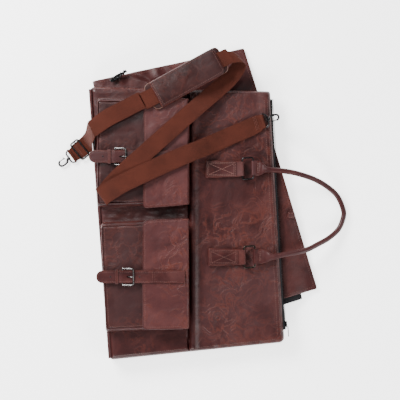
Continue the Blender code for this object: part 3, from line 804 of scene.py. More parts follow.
def make_pocket(row):
    """A pocket: its padded gusset, the face on top of it, the piping between them and a seam."""
    outer = POCKETS[row]
    seed = 3.0 if row == "upper" else 8.0
    face_low = POCKET_HIGH - 7.5

    def gusset_top(x, y):
        return POCKET_HIGH - 3.6 - 1.3 * (1 - wrinkle(x, y, 26, seed))

    gusset = cushion(
        "pocket_gusset_" + row, inset(outer, (0.6, 0.6, 0.6, 0.4)), POCKET_LOW, gusset_top, POCKET_LEATHER,
        "front_half", roll=6.0, step=4.5, radii=(5, 4, 4, 9), stands_for=("pocket_body_" + row,), worn=2.0,
    )
    face = inset(outer, (7.0, 3.0, 8.5, 3.4))

    def face_top(x, y):
        sag = 1.1 * (1 - wrinkle(x, y, 60, seed + 1)) + 0.6 * (1 - wrinkle(x, y, 24, seed + 2))
        fold = 0.8 * (1 - creases(x, y, 40, seed + 3))
        return POCKET_HIGH + 0.5 - sag - fold

    cushion(
        "pocket_face_" + row, face, face_low, face_top, POCKET_LEATHER, "front_half",
        roll=5.0, step=3.4, radii=(7, 4, 4, 7), worn=3.0,
    )
    rim = [(*point[:2], POCKET_HIGH - 2.6) for point in outline(face, 7)]
    sweep("pocket_piping_" + row, rim, even(1.5), TRIM_LEATHER, "front_half", closed=True, sides=10)
    seams = Stitches()
    inner = outline(inset(face, 5.6), 5)
    seams.row([*inner, inner[0]], face_top, radius=0.36)
    seams.make("pocket_stitches_" + row, THREAD, "front_half")


# ---------------------------------------------------------------- flaps, belts and buckles


def flap_height(row, x, y):
    """The flap's upper face, which bends down into the crease."""
    seed = 11.0 if row == "upper" else 14.5
    past = max(0.0, x - crease_x(y) + 5.5) / 5
    bend = 8 * min(past, 1.2) ** 2
    wave = 0.7 * (1 - wrinkle(x, y, 42, seed)) + 0.6 * (1 - creases(x, y, 30, seed + 2))
    return FLAP_HIGH + 0.2 - bend - wave


def make_flap(row):
    body = "flap_" + row
    corners = inset(FLAPS[row], (0.5, 0.5, 0.5, 0.5))
    radii = (9, 1.5, 1.5, 9) if row == "upper" else (9, 1.5, 1.5, 15)
    flap = cushion(
        "flap_leather_" + row, corners, lambda x, y: flap_height(row, x, y) - 2.5,
        lambda x, y: flap_height(row, x, y), FLAP_LEATHER, body, roll=1.6, step=2.6, radii=radii,
        stands_for=("pocket_flap_" + row,), worn=2.6,
    )
    declare_sheet(corners)
    free = free_edge(corners, radii[0], radii[3])
    route = [(x, y, flap_height(row, x, y) - 0.6) for x, y in free]
    sweep("flap_binding_" + row, route, even(1.25), TRIM_LEATHER, body, sides=10)
    seams = Stitches()
    inner = free_edge(inset(corners, 4.6), radii[0] - 3, radii[3] - 3)
    seams.row(inner, lambda x, y: flap_height(row, x, y), radius=0.36)
    seams.make("flap_stitches_" + row, THREAD, body)


def free_edge(corners, foot_radius, head_radius):
    """The flap's three free sides, from the crease at its foot round to the crease at its head."""
    foot_left, foot_right, head_right, head_left = (Vector(corner) for corner in corners)
    start = foot_left.lerp(foot_right, 0.86)
    end = head_left.lerp(head_right, 0.86)
    found = [start]
    for before, corner, after, radius in ((start, foot_left, head_left, foot_radius),
                                          (foot_left, head_left, end, head_radius)):
        first = corner + (before - corner).normalized() * radius
        last = corner + (after - corner).normalized() * radius
        if corner is foot_left:
            found.extend(first.lerp(start, 1 - step / 12) for step in range(1, 12))
        else:
            found.extend(found[-1].lerp(first, step / 40) for step in range(1, 40))
        for step in range(9):
            t = step / 8
            found.append(first * (1 - t) ** 2 + corner * 2 * t * (1 - t) + last * t * t)
    last = found[-1]
    found.extend(last.lerp(end, step / 12) for step in range(1, 13))
    return [tuple(point) for point in found]


def belt_frame(row):
    """The belt's root and tip, the unit vectors towards the tip and to its left, and its width."""
    foot_left, foot_right, head_right, head_left = corners_of("flap_belt_" + row)
    root = (foot_right + head_right) / 2
    tip = (foot_left + head_left) / 2
    along = (tip - root).normalized()
    return root, tip, along, Vector((-along.y, along.x)), (head_left - foot_left).length


BUCKLE_FROM_TIP = 57.0
BUCKLE_DEPTH = 24.0
BUCKLE_HALF_WIDTH = 18.0
PRONG_HOLE_FROM_TIP = BUCKLE_FROM_TIP + 13.5
SPARE_HOLES_FROM_TIP = (BUCKLE_FROM_TIP - 26.0, BUCKLE_FROM_TIP + 38.0)
BELT_FOLD_FROM_TIP = BUCKLE_FROM_TIP + 68.5
BELT_SEAM_INSET = 3.6


def belt_height(from_tip):
    """The belt's upper face: it lies on the flap, dips at its tip and lifts over the buckle's bar."""
    lift = 0.9 * bell(from_tip - BUCKLE_FROM_TIP + 1, 7)
    return BELT_HIGH - 0.1 + lift - 0.7 * ease((12 - from_tip) / 14)


def make_belt(row):
    """A flap's belt with its holes, seams and sewn fold, and the buckle and keeper that it passes."""
    body = "flap_" + row
    root, tip, along, side, width = belt_frame(row)
    run = (tip - root).length
    half = width / 2 - 0.2

    def at(from_tip, across, z):
        place = tip - along * from_tip + side * across
        return Vector((place.x, place.y, z))

    def top(x, y):
        from_tip = (tip - Vector((x, y))).dot(along)
        past = max(0.0, x - crease_x(y) + 14) / 10
        wave = 0.25 * (1 - wrinkle(x, y, 25, 3.3 if row == "upper" else 5.9))
        across = (Vector((x, y)) - tip).dot(side)
        groove = 0.35 * bell(half - abs(across) - BELT_SEAM_INSET, 0.8)
        return belt_height(from_tip) - wave - groove - 4.0 * min(past, 1.3) ** 2

    def level(from_tip):
        return top(*at(from_tip, 0, 0)[:2])

    corners = [tip + side * half, tip - side * half, root - side * half, root + side * half]
    piece = cushion(
        "belt_" + row, corners, lambda x, y: top(x, y) - 2.2, top, TRIM_LEATHER, body,
        roll=1.1, step=2.4, radii=(half - 0.6, half - 0.6, 1, 1), stands_for=("flap_belt_" + row,), worn=2.0,
    )
    punch_hole(piece, at(PRONG_HOLE_FROM_TIP, 0, 65.5), along, (4.0, 1.9))
    for number, distance in enumerate(SPARE_HOLES_FROM_TIP):
        ring = [at(distance + 2.0 * math.cos(a), 2.0 * math.sin(a), level(distance) + 0.12)
                for a in (math.tau * i / 16 for i in range(16))]
        sweep(f"belt_hole_rim_{row}_{number}", ring, even(0.45), TRIM_LEATHER, body, closed=True, sides=8)
        # Painted shade: a black disc where the inside of the hole would lie in shade.
        hole_shade_disc(f"belt_hole_{row}_{number}", at(distance, 0, level(distance) + 0.02), 1.7, body)
    seams = Stitches()
    for sign in (-1, 1):
        line = [at(distance, sign * (half - BELT_SEAM_INSET), 0)[:2] for distance in (13, 55, 110, run - 16)]
        seams.row(line, top, pitch=4.2, length=3.0, radius=0.32, lift=0.1)
    turn = [at(13 - 9.6 * math.sin(a), (half - BELT_SEAM_INSET) * math.cos(a), 0)[:2]
            for a in (math.pi * i / 10 for i in range(11))]
    seams.row(turn, top, pitch=4.2, length=2.6, radius=0.32, lift=0.1)
    for distance in (BELT_FOLD_FROM_TIP - 2.5, BELT_FOLD_FROM_TIP + 2.5):
        seams.row([at(distance, -half + 2, 0)[:2], at(distance, half - 2, 0)[:2]], top, pitch=4.0,
                  length=2.8, radius=0.34, lift=0.1)
    seams.make("belt_stitches_" + row, THREAD, body)
    fold = at(BELT_FOLD_FROM_TIP, 0, 0) + Vector((0, 0, level(BELT_FOLD_FROM_TIP) + 0.2))
    band_round(
        "belt_fold_" + row, [fold + Vector((*(along * shift), 0)) for shift in (1.1, 0.4, -0.4, -1.1)],
        half - 0.1, (*side, 0), 0.9, TRIM_LEATHER, body, closed=False,
    )
    make_buckle(row, at, body)
    make_keeper(row, at, body, (*along, 0), half)


def hole_shade_disc(name, place, radius, body):
    """A black disc on the belt's face: painted shade that stands for the inside of a punched hole."""
    points = [place + Vector((radius * math.cos(a), radius * math.sin(a), 0))
              for a in (math.tau * i / 16 for i in range(16))]
    below = [point - Vector((0, 0, 0.5)) for point in points]
    faces = [tuple(range(16)), tuple(reversed(range(16, 32)))]
    faces += [(i, 16 + i, 16 + (i + 1) % 16, (i + 1) % 16) for i in range(16)]
    add_piece(name, points + below, faces, LINING, body)


def punch_hole(piece, centre, along, half_sides):
    """Cuts a slot through a piece for the buckle's prong."""
    bpy.ops.mesh.primitive_cylinder_add(vertices=24, radius=1, depth=12 * MM, location=world(centre))
    cutter = bpy.context.object
    cutter.scale = (half_sides[0] * MM, half_sides[1] * MM, 1)
    cutter.rotation_euler = (0, 0, math.atan2(along.y, along.x))
    bpy.context.view_layer.update()
    cut = piece.modifiers.new("prong_hole", "BOOLEAN")
    cut.operation = "DIFFERENCE"
    cut.object = cutter
    cut.solver = "EXACT"
    bpy.context.view_layer.update()
    result = bpy.data.meshes.new_from_object(piece.evaluated_get(bpy.context.evaluated_depsgraph_get()))
    piece.modifiers.remove(cut)
    piece.data = result
    bpy.data.objects.remove(cutter, do_unlink=True)


def make_buckle(row, at, body):
    """The buckle's wire frame, its tongue and the short strap under it."""
    pivot, front, half = BUCKLE_FROM_TIP, BUCKLE_FROM_TIP + BUCKLE_DEPTH, BUCKLE_HALF_WIDTH
    frame_route = [
        at(pivot, -half, 63.2), at(pivot, half, 63.2), at(pivot + 4, half, 64.6),
        at(front - 4, half, 68.4), at(front, half - 1, 68.9), at(front, -half + 1, 68.9),
        at(front - 4, -half, 68.4), at(pivot + 4, -half, 64.6),
    ]
    sweep("buckle_wire_" + row, rounded(frame_route, 5.5), even(1.55, 1.25, 2.4), NICKEL, body,
          closed=True, sides=16, stands_for=("buckle_frame_" + row,))
    tongue = smooth_route([
        at(pivot + 2.9, 0, 62.9), at(pivot + 8, 0, 63.0), at(pivot + 11.5, 0, 63.9), at(pivot + 14, 0, 66.6),
        at(pivot + 17, 0, 69.3), at(pivot + 20.5, 0, 70.7), at(front + 1.9, 0, 70.9),
    ], 5)
    sweep("buckle_tongue_" + row, tongue, lambda t: (1.25 - 0.4 * t, 1.0 - 0.15 * t, 2.0), NICKEL, body,
          sides=12, stands_for=("buckle_prong_" + row,))
    low, high = heights_of("buckle_strap_" + row)
    strap = corners_of("buckle_strap_" + row)
    cushion("buckle_backing_" + row, inset(strap, 0.2), low, high, TRIM_LEATHER, body, roll=0.8, step=4.0,
            radii=(5, 1, 1, 5), stands_for=("buckle_strap_" + row,), worn=1.5)


def make_keeper(row, at, body, way, half):
    """The leather loop that holds the belt's tip down."""
    centre = BUCKLE_FROM_TIP - 12.0
    low, high = heights_of("belt_keeper_" + row)
    reach = half + 1.7
    route = rounded([
        at(centre, -reach, low + 0.6), at(centre, reach, low + 0.6),
        at(centre, reach, high - 0.7), at(centre, -reach, high - 0.7),
    ], 1.8)
    band_round("keeper_" + row, route, 3.4, way, 1.2, TRIM_LEATHER, body, stands_for=("belt_keeper_" + row,))
    seams = Stitches()
    for shift in (-2.2, 2.2):
        line = [at(centre + shift, across, 0)[:2] for across in (-half, half)]
        seams.row(line, high - 0.1, pitch=3.6, length=2.6, radius=0.28, lift=0.05)
    seams.make("keeper_stitches_" + row, THREAD, body)


# ---------------------------------------------------------------- handle


RING_DEPTH = 24.0
RING_HALF_WIDTH = 23.5
TAB_HALF_WIDTH = 20.0
TAB_HALF_WIDTH_AT_RING = 17.0
END_HALF_WIDTH = 16.0
END_HALF_HEIGHT = 2.6
GRIP_RADIUS = 5.8
GRIP_ROUTE = (
    (166, 103.5, 47.2), (186, 100.5, 46), (206, 97, 43), (233, 90, 36), (270, 75, 25),
    (299, 56, 15.5), (320, 34, 8.6), (331, 4, 6.3), (330, -15, 6.3), (317, -40, 9),
    (293, -58, 17), (266, -70, 26.5), (243, -79, 34), (220, -83, 40.5), (190, -86, 45.6),
    (166, -89, 47.2),
)


def ring_place(row):
    """The middle of a ring's inner bar and the way that the bar points."""
    middle, axis = joint_place(f"ring_{row}_lift")
    return middle, -axis


TAB_LOW = heights_of("handle_tab_upper")[0]


def tab_height(x, y):
    return TAB_LOW + 2.9 - 0.35 * (1 - wrinkle(x, y, 22, 2.7))


def make_handle_side(row):
    """One side of the handle: its ring, the tab that holds it, the tab's stitches and the handle's end."""
    inner, along = ring_place(row)
    outer = inner + Vector((RING_DEPTH, 0, 0))
    half = along * RING_HALF_WIDTH
    wire = rounded([inner - half, inner + half, outer + half, outer - half], 5.0)
    sweep("ring_" + row, wire, even(1.75, square=2.3), GUNMETAL if row == "upper" else BRASSY,
          f"ring_{row}", closed=True, sides=16, stands_for=("handle_ring_" + row,))
    tab_low = box_of("handle_tab_" + row)[0]
    start = Vector((tab_low.x, inner.y + 5.5))
    reach = inner - Vector((2.6, 0, 0))
    ahead = (reach - Vector((*start, reach.z))).normalized()
    side = leftwards(ahead).to_2d()
    reach, ahead = reach.to_2d(), ahead.to_2d()
    corners = [start - side * TAB_HALF_WIDTH, reach - side * TAB_HALF_WIDTH_AT_RING,
               reach + side * TAB_HALF_WIDTH_AT_RING, start + side * TAB_HALF_WIDTH]
    low = heights_of("handle_tab_" + row)[0]
    cushion("tab_" + row, corners, low, tab_height, TRIM_LEATHER, "front_half", roll=1.5, step=2.8,
            radii=(4, 2, 2, 4), stands_for=("handle_tab_" + row,), worn=2.4)
    make_wrap("tab_wrap_" + row, inner, along, -1, "front_half")
    seams = Stitches()
    near, far, wide = 4.0, (reach - start).length - 13.0, TAB_HALF_WIDTH - 4.6

    def box_route(by, taper):
        """The stitched box, moved inwards: it narrows towards the ring."""
        around = ((near + by, -wide + by), (far - by, -wide + taper), (far - by, wide - taper),
                  (near + by, wide - by), (near + by, -wide + by))
        return [start + ahead * u + side * v for u, v in around]

    inner_box = box_route(3.2, 4.2)
    seams.row(box_route(0.0, 1.4), tab_height, pitch=4.0, length=2.9, radius=0.5, lift=0.2)
    seams.row(inner_box, tab_height, pitch=4.0, length=2.9, radius=0.42, lift=0.15)
    for first, last in ((0, 2), (1, 3)):
        cross = [inner_box[first], inner_box[last]]
        seams.row(cross, tab_height, pitch=4.2, length=3.2, radius=0.55, lift=0.25)
    seams.make("tab_stitches_" + row, THREAD_PALE if row == "upper" else THREAD, "front_half")
    make_handle_end(row, outer, along)


def make_wrap(name, bar, along, way, body):
    """Leather that turns round a ring's bar and lies back on itself."""
    route = []
    for step in range(13):
        angle = math.pi * (0.5 - step / 12)
        route.append(bar + Vector((-way * 3.2 * math.cos(angle), 0, 3.2 * math.sin(angle))))
    lead = bar + Vector((way * 11.0, 0, 0.2))
    tail = bar + Vector((way * 8.0, 0, -2.6))
    route = [lead, bar + Vector((way * 6.0, 0, 1.6)), *route, bar + Vector((way * 5, 0, -3.0)), tail]
    band_round(name, smooth_route(route, 2), END_HALF_WIDTH, along, 1.6, TRIM_LEATHER, body, closed=False)


def make_handle_end(row, outer, along):
    """The end of the handle: flat leather at the ring that closes into the rolled grip."""
    tip = Vector(GRIP_ROUTE[0] if row == "upper" else GRIP_ROUTE[-1])
    next_tip = Vector(GRIP_ROUTE[1] if row == "upper" else GRIP_ROUTE[-2])
    start = outer + Vector((4.2, 0, 0))
    stations = [start, start.lerp(tip, 0.35), start.lerp(tip, 0.7), tip, tip.lerp(next_tip, 0.35)]
    route = smooth_route(stations, 6)

    def section(t):
        closing = ease((t - 0.18) / 0.62)
        fold = 1 + 0.12 * math.sin(t * 26) * (1 - closing) * ease(t * 5)
        half_width = END_HALF_WIDTH + (GRIP_RADIUS + 0.7 - END_HALF_WIDTH) * closing
        half_height = END_HALF_HEIGHT + (GRIP_RADIUS + 0.5 - END_HALF_HEIGHT) * closing
        return half_width, half_height * fold, 3.6 - 1.5 * closing

    sweep("handle_end_leather_" + row, route, section, GRIP_LEATHER, "handle", sides=28,
          stands_for=("handle_end_" + row,))
    make_wrap("handle_wrap_" + row, outer, along, 1, "handle")
    seams = Stitches()
    first = start + Vector((5.2, 0, 0))
    for shift in (0.0, 3.0):
        middle = first + Vector((shift, 0, 0))
        seams.row([(middle - along * 12)[:2], (middle + along * 12)[:2]], outer.z + 2.75,
                  pitch=3.8, length=2.7, radius=0.4, lift=0.1)
    seams.make("handle_end_stitches_" + row, THREAD_PALE, "handle")


def make_grip():
    """The rolled grip, with the raised seam along its inner side and a row of stitches beside it."""
    route = smooth_route(GRIP_ROUTE, 14)

    def section(t):
        size = GRIP_RADIUS * (1 + 0.022 * noise.noise(Vector((t * 40, 0, 0))))
        return size, size, 2.0

    sweep("handle_roll", route, section, GRIP_LEATHER, "handle", sides=24, stands_for=("handle_grip",))
    centre = Vector((230, 5, 0))
    seam, line = [], []
    for index, place in enumerate(route):
        ahead = heading(route, index, closed=False)
        side = ahead.cross(Vector((0, 0, 1))).normalized()
        if (centre - place).dot(side) < 0:
            side = -side
        rise = side.cross(ahead)
        rise = rise if rise.z > 0 else -rise
        out = (side * 0.80 + rise * 0.60).normalized()
        seam.append(place + out * (GRIP_RADIUS - 0.15))
        line.append(place + (side * 0.55 + rise * 0.835).normalized() * (GRIP_RADIUS + 0.05))
    sweep("handle_seam", seam, even(0.75, 0.6), GRIP_LEATHER, "handle", sides=8)
    seams = Stitches()
    rest = 0.0
    for start, end in zip(line, line[1:]):
        run = (end - start).length
        while rest < run:
            ahead = (end - start).normalized()
            seams.one(start + ahead * (rest - 1.4), start + ahead * (rest + 1.4), 0.36)
            rest += 4.4
        rest -= run
    seams.make("handle_stitches", THREAD, "handle")


# ---------------------------------------------------------------- back half, spine and sleeve


def height_over(node):
    """A function that gives the height of a CAD node's upper face over a plan point."""
    tree = BVHTree.FromObject(frame["nodes"][node], bpy.context.evaluated_depsgraph_get())

    def at(x, y):
        above = world((x, y, 400))
        hit = tree.ray_cast(above, Vector((0, 0, -1)))[0]
        if hit is None:
            hit = tree.find_nearest(world((x, y, 20)))[0]
        return plan(hit).z

    return at


def make_back_half():
    """The back half's padded shell, the linings of both halves and what is sewn to the back lining."""
    back = corners_of("back_shell")
    low, high = heights_of("back_shell")

    def sole(x, y):
        return low + 0.6 * (1 + wrinkle(x, y, 70, 5.0)) * 0.5

    def face(x, y):
        return high - 0.25 * (1 - wrinkle(x, y, 50, 2.0))

    panel = cushion("back_panel", back, sole, face, LEAF_LEATHER, "root", roll=4.5, step=7.0,
                    stands_for=("back_shell",), worn=3.0)
    seams = Stitches()
    line = outline(inset(back, 7.0), 8)
    seams.row([*line, line[0]], high - 0.5, radius=0.36)
    seams.make("back_stitches", THREAD, "root")
    for half, body, slack in (("back", "root", 0.0), ("front", "front_half", 0.25)):
        node = half + "_lining"
        bottom, top = heights_of(node)

        def quilt(x, y, top=top):
            return top - 0.25 * (1 - wrinkle(x, y, 40, 8.0))

        def under(x, y, bottom=bottom, slack=slack):
            return bottom + slack * (1 - wrinkle(x, y, 35, 4.0))

        corners = corners_of(node)
        sheet = cushion(node + "_cloth", corners, under, quilt, LINING, body, roll=0.9, step=9.0,
                        stands_for=(node,), worn=0)
        declare_sheet(corners)
    make_garment_straps()


def declare_sheet(corners):
    """Unpacks a piece's four plan corners; nothing is done with them."""
    a, b, c, d = (Vector(corner) for corner in corners)


def sewn_band(node, start, end, way, half, steps, slack, ripple=0.0):
    """A flat band of black webbing on the back lining. way is the unit vector across it."""
    low, high = heights_of(node)
    pairs = []
    for i in range(steps + 1):
        place = Vector((*start.lerp(end, i / steps), (low + high) / 2 + ripple * math.sin(i)))
        pairs.append((place + way * half, place - way * half))
    band = webbing_piece(node + "_band", pairs, high - low - slack, BAND, "root", (node,))


def make_garment_straps():
    """The two inner straps that hold a garment, the clip on each, and the hanger's loop and hook."""
    for row in ("upper", "lower"):
        a, b, c, d = corners_of("garment_strap_" + row)
        sewn_band("garment_strap_" + row, (a + d) / 2, (b + c) / 2, Vector((0, 1, 0)), (d - a).length / 2,
                  steps=12, slack=0.15, ripple=0.1)
        clip = "garment_clip_" + row
        low, high = heights_of(clip)
        cushion(clip + "_plate", corners_of(clip), low, high, BRASSY, "root", roll=0.5, step=6.0,
                radii=(5, 5, 5, 5), stands_for=(clip,), worn=0)
    a, b, c, d = corners_of("hanger_loop")
    sewn_band("hanger_loop", (a + b) / 2, (c + d) / 2, Vector((-1, 0, 0)), (b - a).length / 2,
              steps=6, slack=0.1)
    low, high = box_of("hanger_hook")
    centre = (low + high) / 2
    reach = (high.x - low.x) / 2 - 1.2
    arc = [centre + Vector((reach * math.cos(a), reach * math.sin(a), 0))
           for a in (math.radians(-70 + 13.5 * i) for i in range(20))]
    sweep("hanger_wire", arc, even(1.15), NICKEL, "root", sides=12, stands_for=("hanger_hook",))


TAIL_SPAN = (168, 246)
SPINE_STEPS = 64
SPINE_FOLD_STEPS = 32


def make_spine():
    """The folded spine: a soft wall on the back half, and the fold that joins it to the front half.

    The fold is open over TAIL_SPAN, where the strap's tail passes it as the bag unfolds.
    """
    low, high = box_of("spine_gusset")
    x = (low.x + high.x) / 2
    wall = spine_line(x, low.y, high.y, SPINE_STEPS)
    profile = ((0.9, 0.0), (0.1, 0.12), (-0.9, 0.35), (-1.3, 0.6), (-0.8, 0.85), (0.0, 1.0))
    build_strip(
        "spine_wall", wall,
        lambda s, y: (profile_at(profile, s)[0] * 1.4 + 0.5 * wrinkle(y, s * 40, 22, 3.0),
                         low.z + (high.z - 1.5 - low.z) * s),
        1.7, LEAF_LEATHER, "root", ("spine_gusset",),
    )
    from_back, to_front = world((x - 1.2, 0, high.z)), world((x + 6.5, 0, high.z))
    for name, from_y, to_y in (("foot", low.y, TAIL_SPAN[0]), ("head", TAIL_SPAN[1], high.y)):
        fold = build_strip(
            "spine_fold_" + name, spine_line(x, from_y, to_y, SPINE_FOLD_STEPS),
            lambda s, y: (-1.2 + 1.2 * math.sin(math.pi * s * 0.5) + 7.5 * s,
                          high.z - 4.0 + 4.6 * math.sin(math.pi * min(1.0, s * 1.15)) - 4.0 * s),
            1.3, LEAF_LEATHER, None, (),
        )
        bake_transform(fold)


def spine_line(x, from_y, to_y, steps):
    return [(x, from_y + (to_y - from_y) * i / steps) for i in range(steps + 1)]


def profile_at(profile, s):
    """A point along a list of points, s going from 0 at the first to 1 at the last."""
    place = min(max(s, 0.0), 1.0) * (len(profile) - 1)
    index = min(int(place), len(profile) - 2)
    part = place - index
    a, b = profile[index], profile[index + 1]
    return tuple(p * (1 - part) + q * part for p, q in zip(a, b))


def build_strip(name, line, shape, thickness, surface, body, stands_for, across=12):
    """A closed strip along a plan line. shape(s, y) gives its sideways shift and height across it."""
    upper, lower = [], []
    for x, y in line:
        path = []
        for step in range(across + 1):
            shift, z = shape(step / across, y)
            path.append(Vector((x + shift, y, z)))
        for step, place in enumerate(path):
            ahead = path[min(step + 1, across)] - path[max(step - 1, 0)]
            out = Vector((-ahead.z, 0, ahead.x)).normalized()
            upper.append(place + out * thickness / 2)
            lower.append(place - out * thickness / 2)
    return add_piece(name, upper + lower, slab_faces(len(line), across), surface, body, stands_for)


def make_sleeve():
    """The loose sleeve between the halves: its leather leaf, the black leaf under it and a small tab."""
    cover_face = height_over("sleeve_cover")
    corners = corners_of("sleeve_cover")

    def ruffle(x, y):
        """How free the leaf is to wrinkle: only beyond the front half's edges."""
        beyond = max((x - edge_x(PANEL, y) - 8) / 14, (y - edge_y(PANEL, x) - 4) / 14)
        return ease(beyond)

    def cover_top(x, y):
        free = ruffle(x, y)
        head = ease((y - edge_y(PANEL, x) - 2) / 16)
        left = ease((60 - x) / 90)
        height = cover_face(x, y) - 0.25
        height += free * 1.1 * wrinkle(x, y, 55, 1.9)
        height += head * left * 2.6 * (1 - 2 * creases(x * 0.8 + y * 0.5, y, 34, 6.4))
        height += head * left * 2.0 * wrinkle(x, y, 26, 4.4)
        return max(height, 3.4)

    leaf = cushion(
        "sleeve_leaf", corners, lambda x, y: max(cover_top(x, y) - 3.2, 0.5), cover_top, LEAF_LEATHER, "root",
        roll=2.4, step=4.4, radii=(4, 5, 4, 4), stands_for=("sleeve_cover",), worn=3.0,
    )
    declare_sheet(corners)
    seams = Stitches()
    line = outline(inset(corners, 7.0), 5)
    seams.row([*line, line[0]], cover_top, pitch=5.0, radius=0.34, lift=0.05)
    seams.make("leaf_stitches", THREAD, "root")
    black_face = height_over("sleeve_lining")
    black = corners_of("sleeve_lining")

    def black_top(x, y):
        return max(black_face(x, y) - 0.3 + 0.5 * ruffle(x, y) * wrinkle(x, y, 18, 7.7), 1.5)

    sheet = cushion(
        "sleeve_black_leaf", black, lambda x, y: max(black_top(x, y) - 1.0, 0.4), black_top, LINING, "root",
        roll=0.8, step=6.0, radii=(3, 3, 3, 3), stands_for=("sleeve_lining",), worn=0,
    )
    declare_sheet(black)
    line = [black[1].lerp(black[2], i / 40) - Vector((6.0, 0)) for i in range(41)]
    route = [Vector((x, y, black_top(x, y) + 0.5)) for x, y in line]
    sweep("sleeve_black_edge", route, even(4.0, 0.5, 3.0), LINING, "root", sides=10)
    tab = corners_of("sleeve_tab")
    middle = sum((Vector(corner) for corner in tab), Vector((0, 0))) / 4
    tab_face = height_over("sleeve_tab")
    cushion(
        "sleeve_loop", tab, lambda x, y: tab_face(x, y) - 1.5, lambda x, y: tab_face(x, y) + 0.3,
        TRIM_LEATHER, "root", roll=1.2, step=2.0, radii=(2, 5, 5, 2), stands_for=("sleeve_tab",), worn=2.0,
    )
    seams = Stitches()
    for shift in (-4, 4):
        seams.row([(middle.x - 5, middle.y + shift), (middle.x + 6, middle.y + shift - 0.6)],
                  lambda x, y: tab_face(x, y) + 0.25, pitch=3.6, length=2.6, radius=0.4)
    seams.make("sleeve_loop_stitches", THREAD_PALE, "root")


RUFFLE_STEPS = 84


def make_zip_tail():
    """The bunched black end of the zip that shows past the bag's head."""
    low, high = box_of("zip_tail")
    start = Vector((low.x + 4, low.y + 3.5, high.z - 4.6))
    end = Vector((high.x - 3, high.y - 3.0, high.z - 3.8))
    along = (end - start).normalized()
    side = Vector((-along.y, along.x, 0))
    for number, (reach, phase, rise) in enumerate(((5.2, 0.0, 0.0), (4.2, 1.9, 1.1))):
        pairs = []
        for step in range(RUFFLE_STEPS + 1):
            t = step / RUFFLE_STEPS
            swing = math.sin(t * 30 + phase) * (2.2 + 0.8 * math.sin(t * 9))
            swell = 0.55 + 0.45 * math.sin(math.pi * min(1.0, t * 1.2 + 0.1))
            middle = start.lerp(end, t) + Vector((0, 0, rise + 0.55 * swing)) + along * swing * 0.25
            lean = side * reach * swell + Vector((0, 0, 1.5 * math.cos(t * 30 + phase)))
            pairs.append((middle + lean, middle - lean))
        replaced = ("zip_tail",) if number == 0 else ()
        ruffle = webbing_piece(f"zip_tail_ruffle_{number}", pairs, 0.7, LINING, "root", replaced)
    coil = []
    for i in range(61):
        rise = Vector((0, 0, 2.2 + 0.9 * math.cos(i * 0.9)))
        coil.append(start.lerp(end, i / 60) + side * 3.6 * math.sin(i * 0.5) + rise)
    sweep("zip_tail_coil", coil, even(1.0), GUNMETAL, "root", sides=8)


# ---------------------------------------------------------------- zip


TOOTH_PITCH = 2.4
TOOTH = ((-1.6, -0.75), (1.3, -0.45), (1.3, 0.45), (-1.6, 0.75))
TOOTH_HALF_HEIGHTS = (1.3, 0.9, 0.9, 1.3)
TOOTH_SIDES = ((0, 3, 2, 1), (4, 5, 6, 7), (0, 1, 5, 4), (1, 2, 6, 5), (2, 3, 7, 6), (3, 0, 4, 7))


def make_zip():
    """The zip: two tapes turned in at the open edge, the teeth between them, the slider and its pull."""
    a, b, c, d = corners_of("zip_tape")
    low, high = heights_of("zip_tape")
    foot, head = (a + b) / 2, (c + d) / 2
    middle = (low + high) / 2
    line = [tuple(foot.lerp(head, i / 90)) for i in range(91)]
    for name, turned in (("lower", -1), ("upper", 1)):
        def shape(s, y, turned=turned):
            bulge = 1.6 * ease((-190 - y) / 30) + 0.8 * ease((y - 225) / 20)
            rise = (0.6 + (high - low + 1.2) / 2 * s) * turned
            return bulge - 9.0 * s * s + 0.3 * wrinkle(y, 0, 30, 2.0), middle + rise

        strip = build_strip("zip_tape_" + name, line, shape, 0.9, LINING, "front_half",
                            ("zip_tape",) if name == "lower" else (), across=6)
    teeth_a, teeth_b, teeth_c, teeth_d = corners_of("zip_teeth")
    foot, head = (teeth_a + teeth_b) / 2, (teeth_c + teeth_d) / 2
    low, high = heights_of("zip_teeth")
    count = int((head - foot).length / TOOTH_PITCH)
    points, faces = [], []
    for index in range(count):
        place = foot.lerp(head, (index + 0.5) / count)
        level = (low + high) / 2 + (0.35 if index % 2 else -0.35)
        base = len(points)
        for sign in (-1, 1):
            for (x, y), half in zip(TOOTH, TOOTH_HALF_HEIGHTS):
                points.append((place.x + x, place.y + y, level + sign * half))
        faces += [tuple(base + i for i in side) for side in TOOTH_SIDES]
    add_piece("zip_teeth_row", points, faces, GUNMETAL, "front_half", ("zip_teeth",), smooth=20)
    low, high = box_of("zip_pull")
    middle = (low + high) / 2
    route = rounded([
        (middle.x, high.y - 1, middle.z - 2.6), (middle.x, high.y - 1, middle.z + 2.6),
        (middle.x, low.y + 2, middle.z + 3.1), (middle.x, low.y + 2, middle.z - 3.1),
    ], 2.6)
    band_round("zip_pull_frame", route, 0.7, (1, 0, 0), 1.3, GUNMETAL, "zip_pull", stands_for=("zip_pull",))
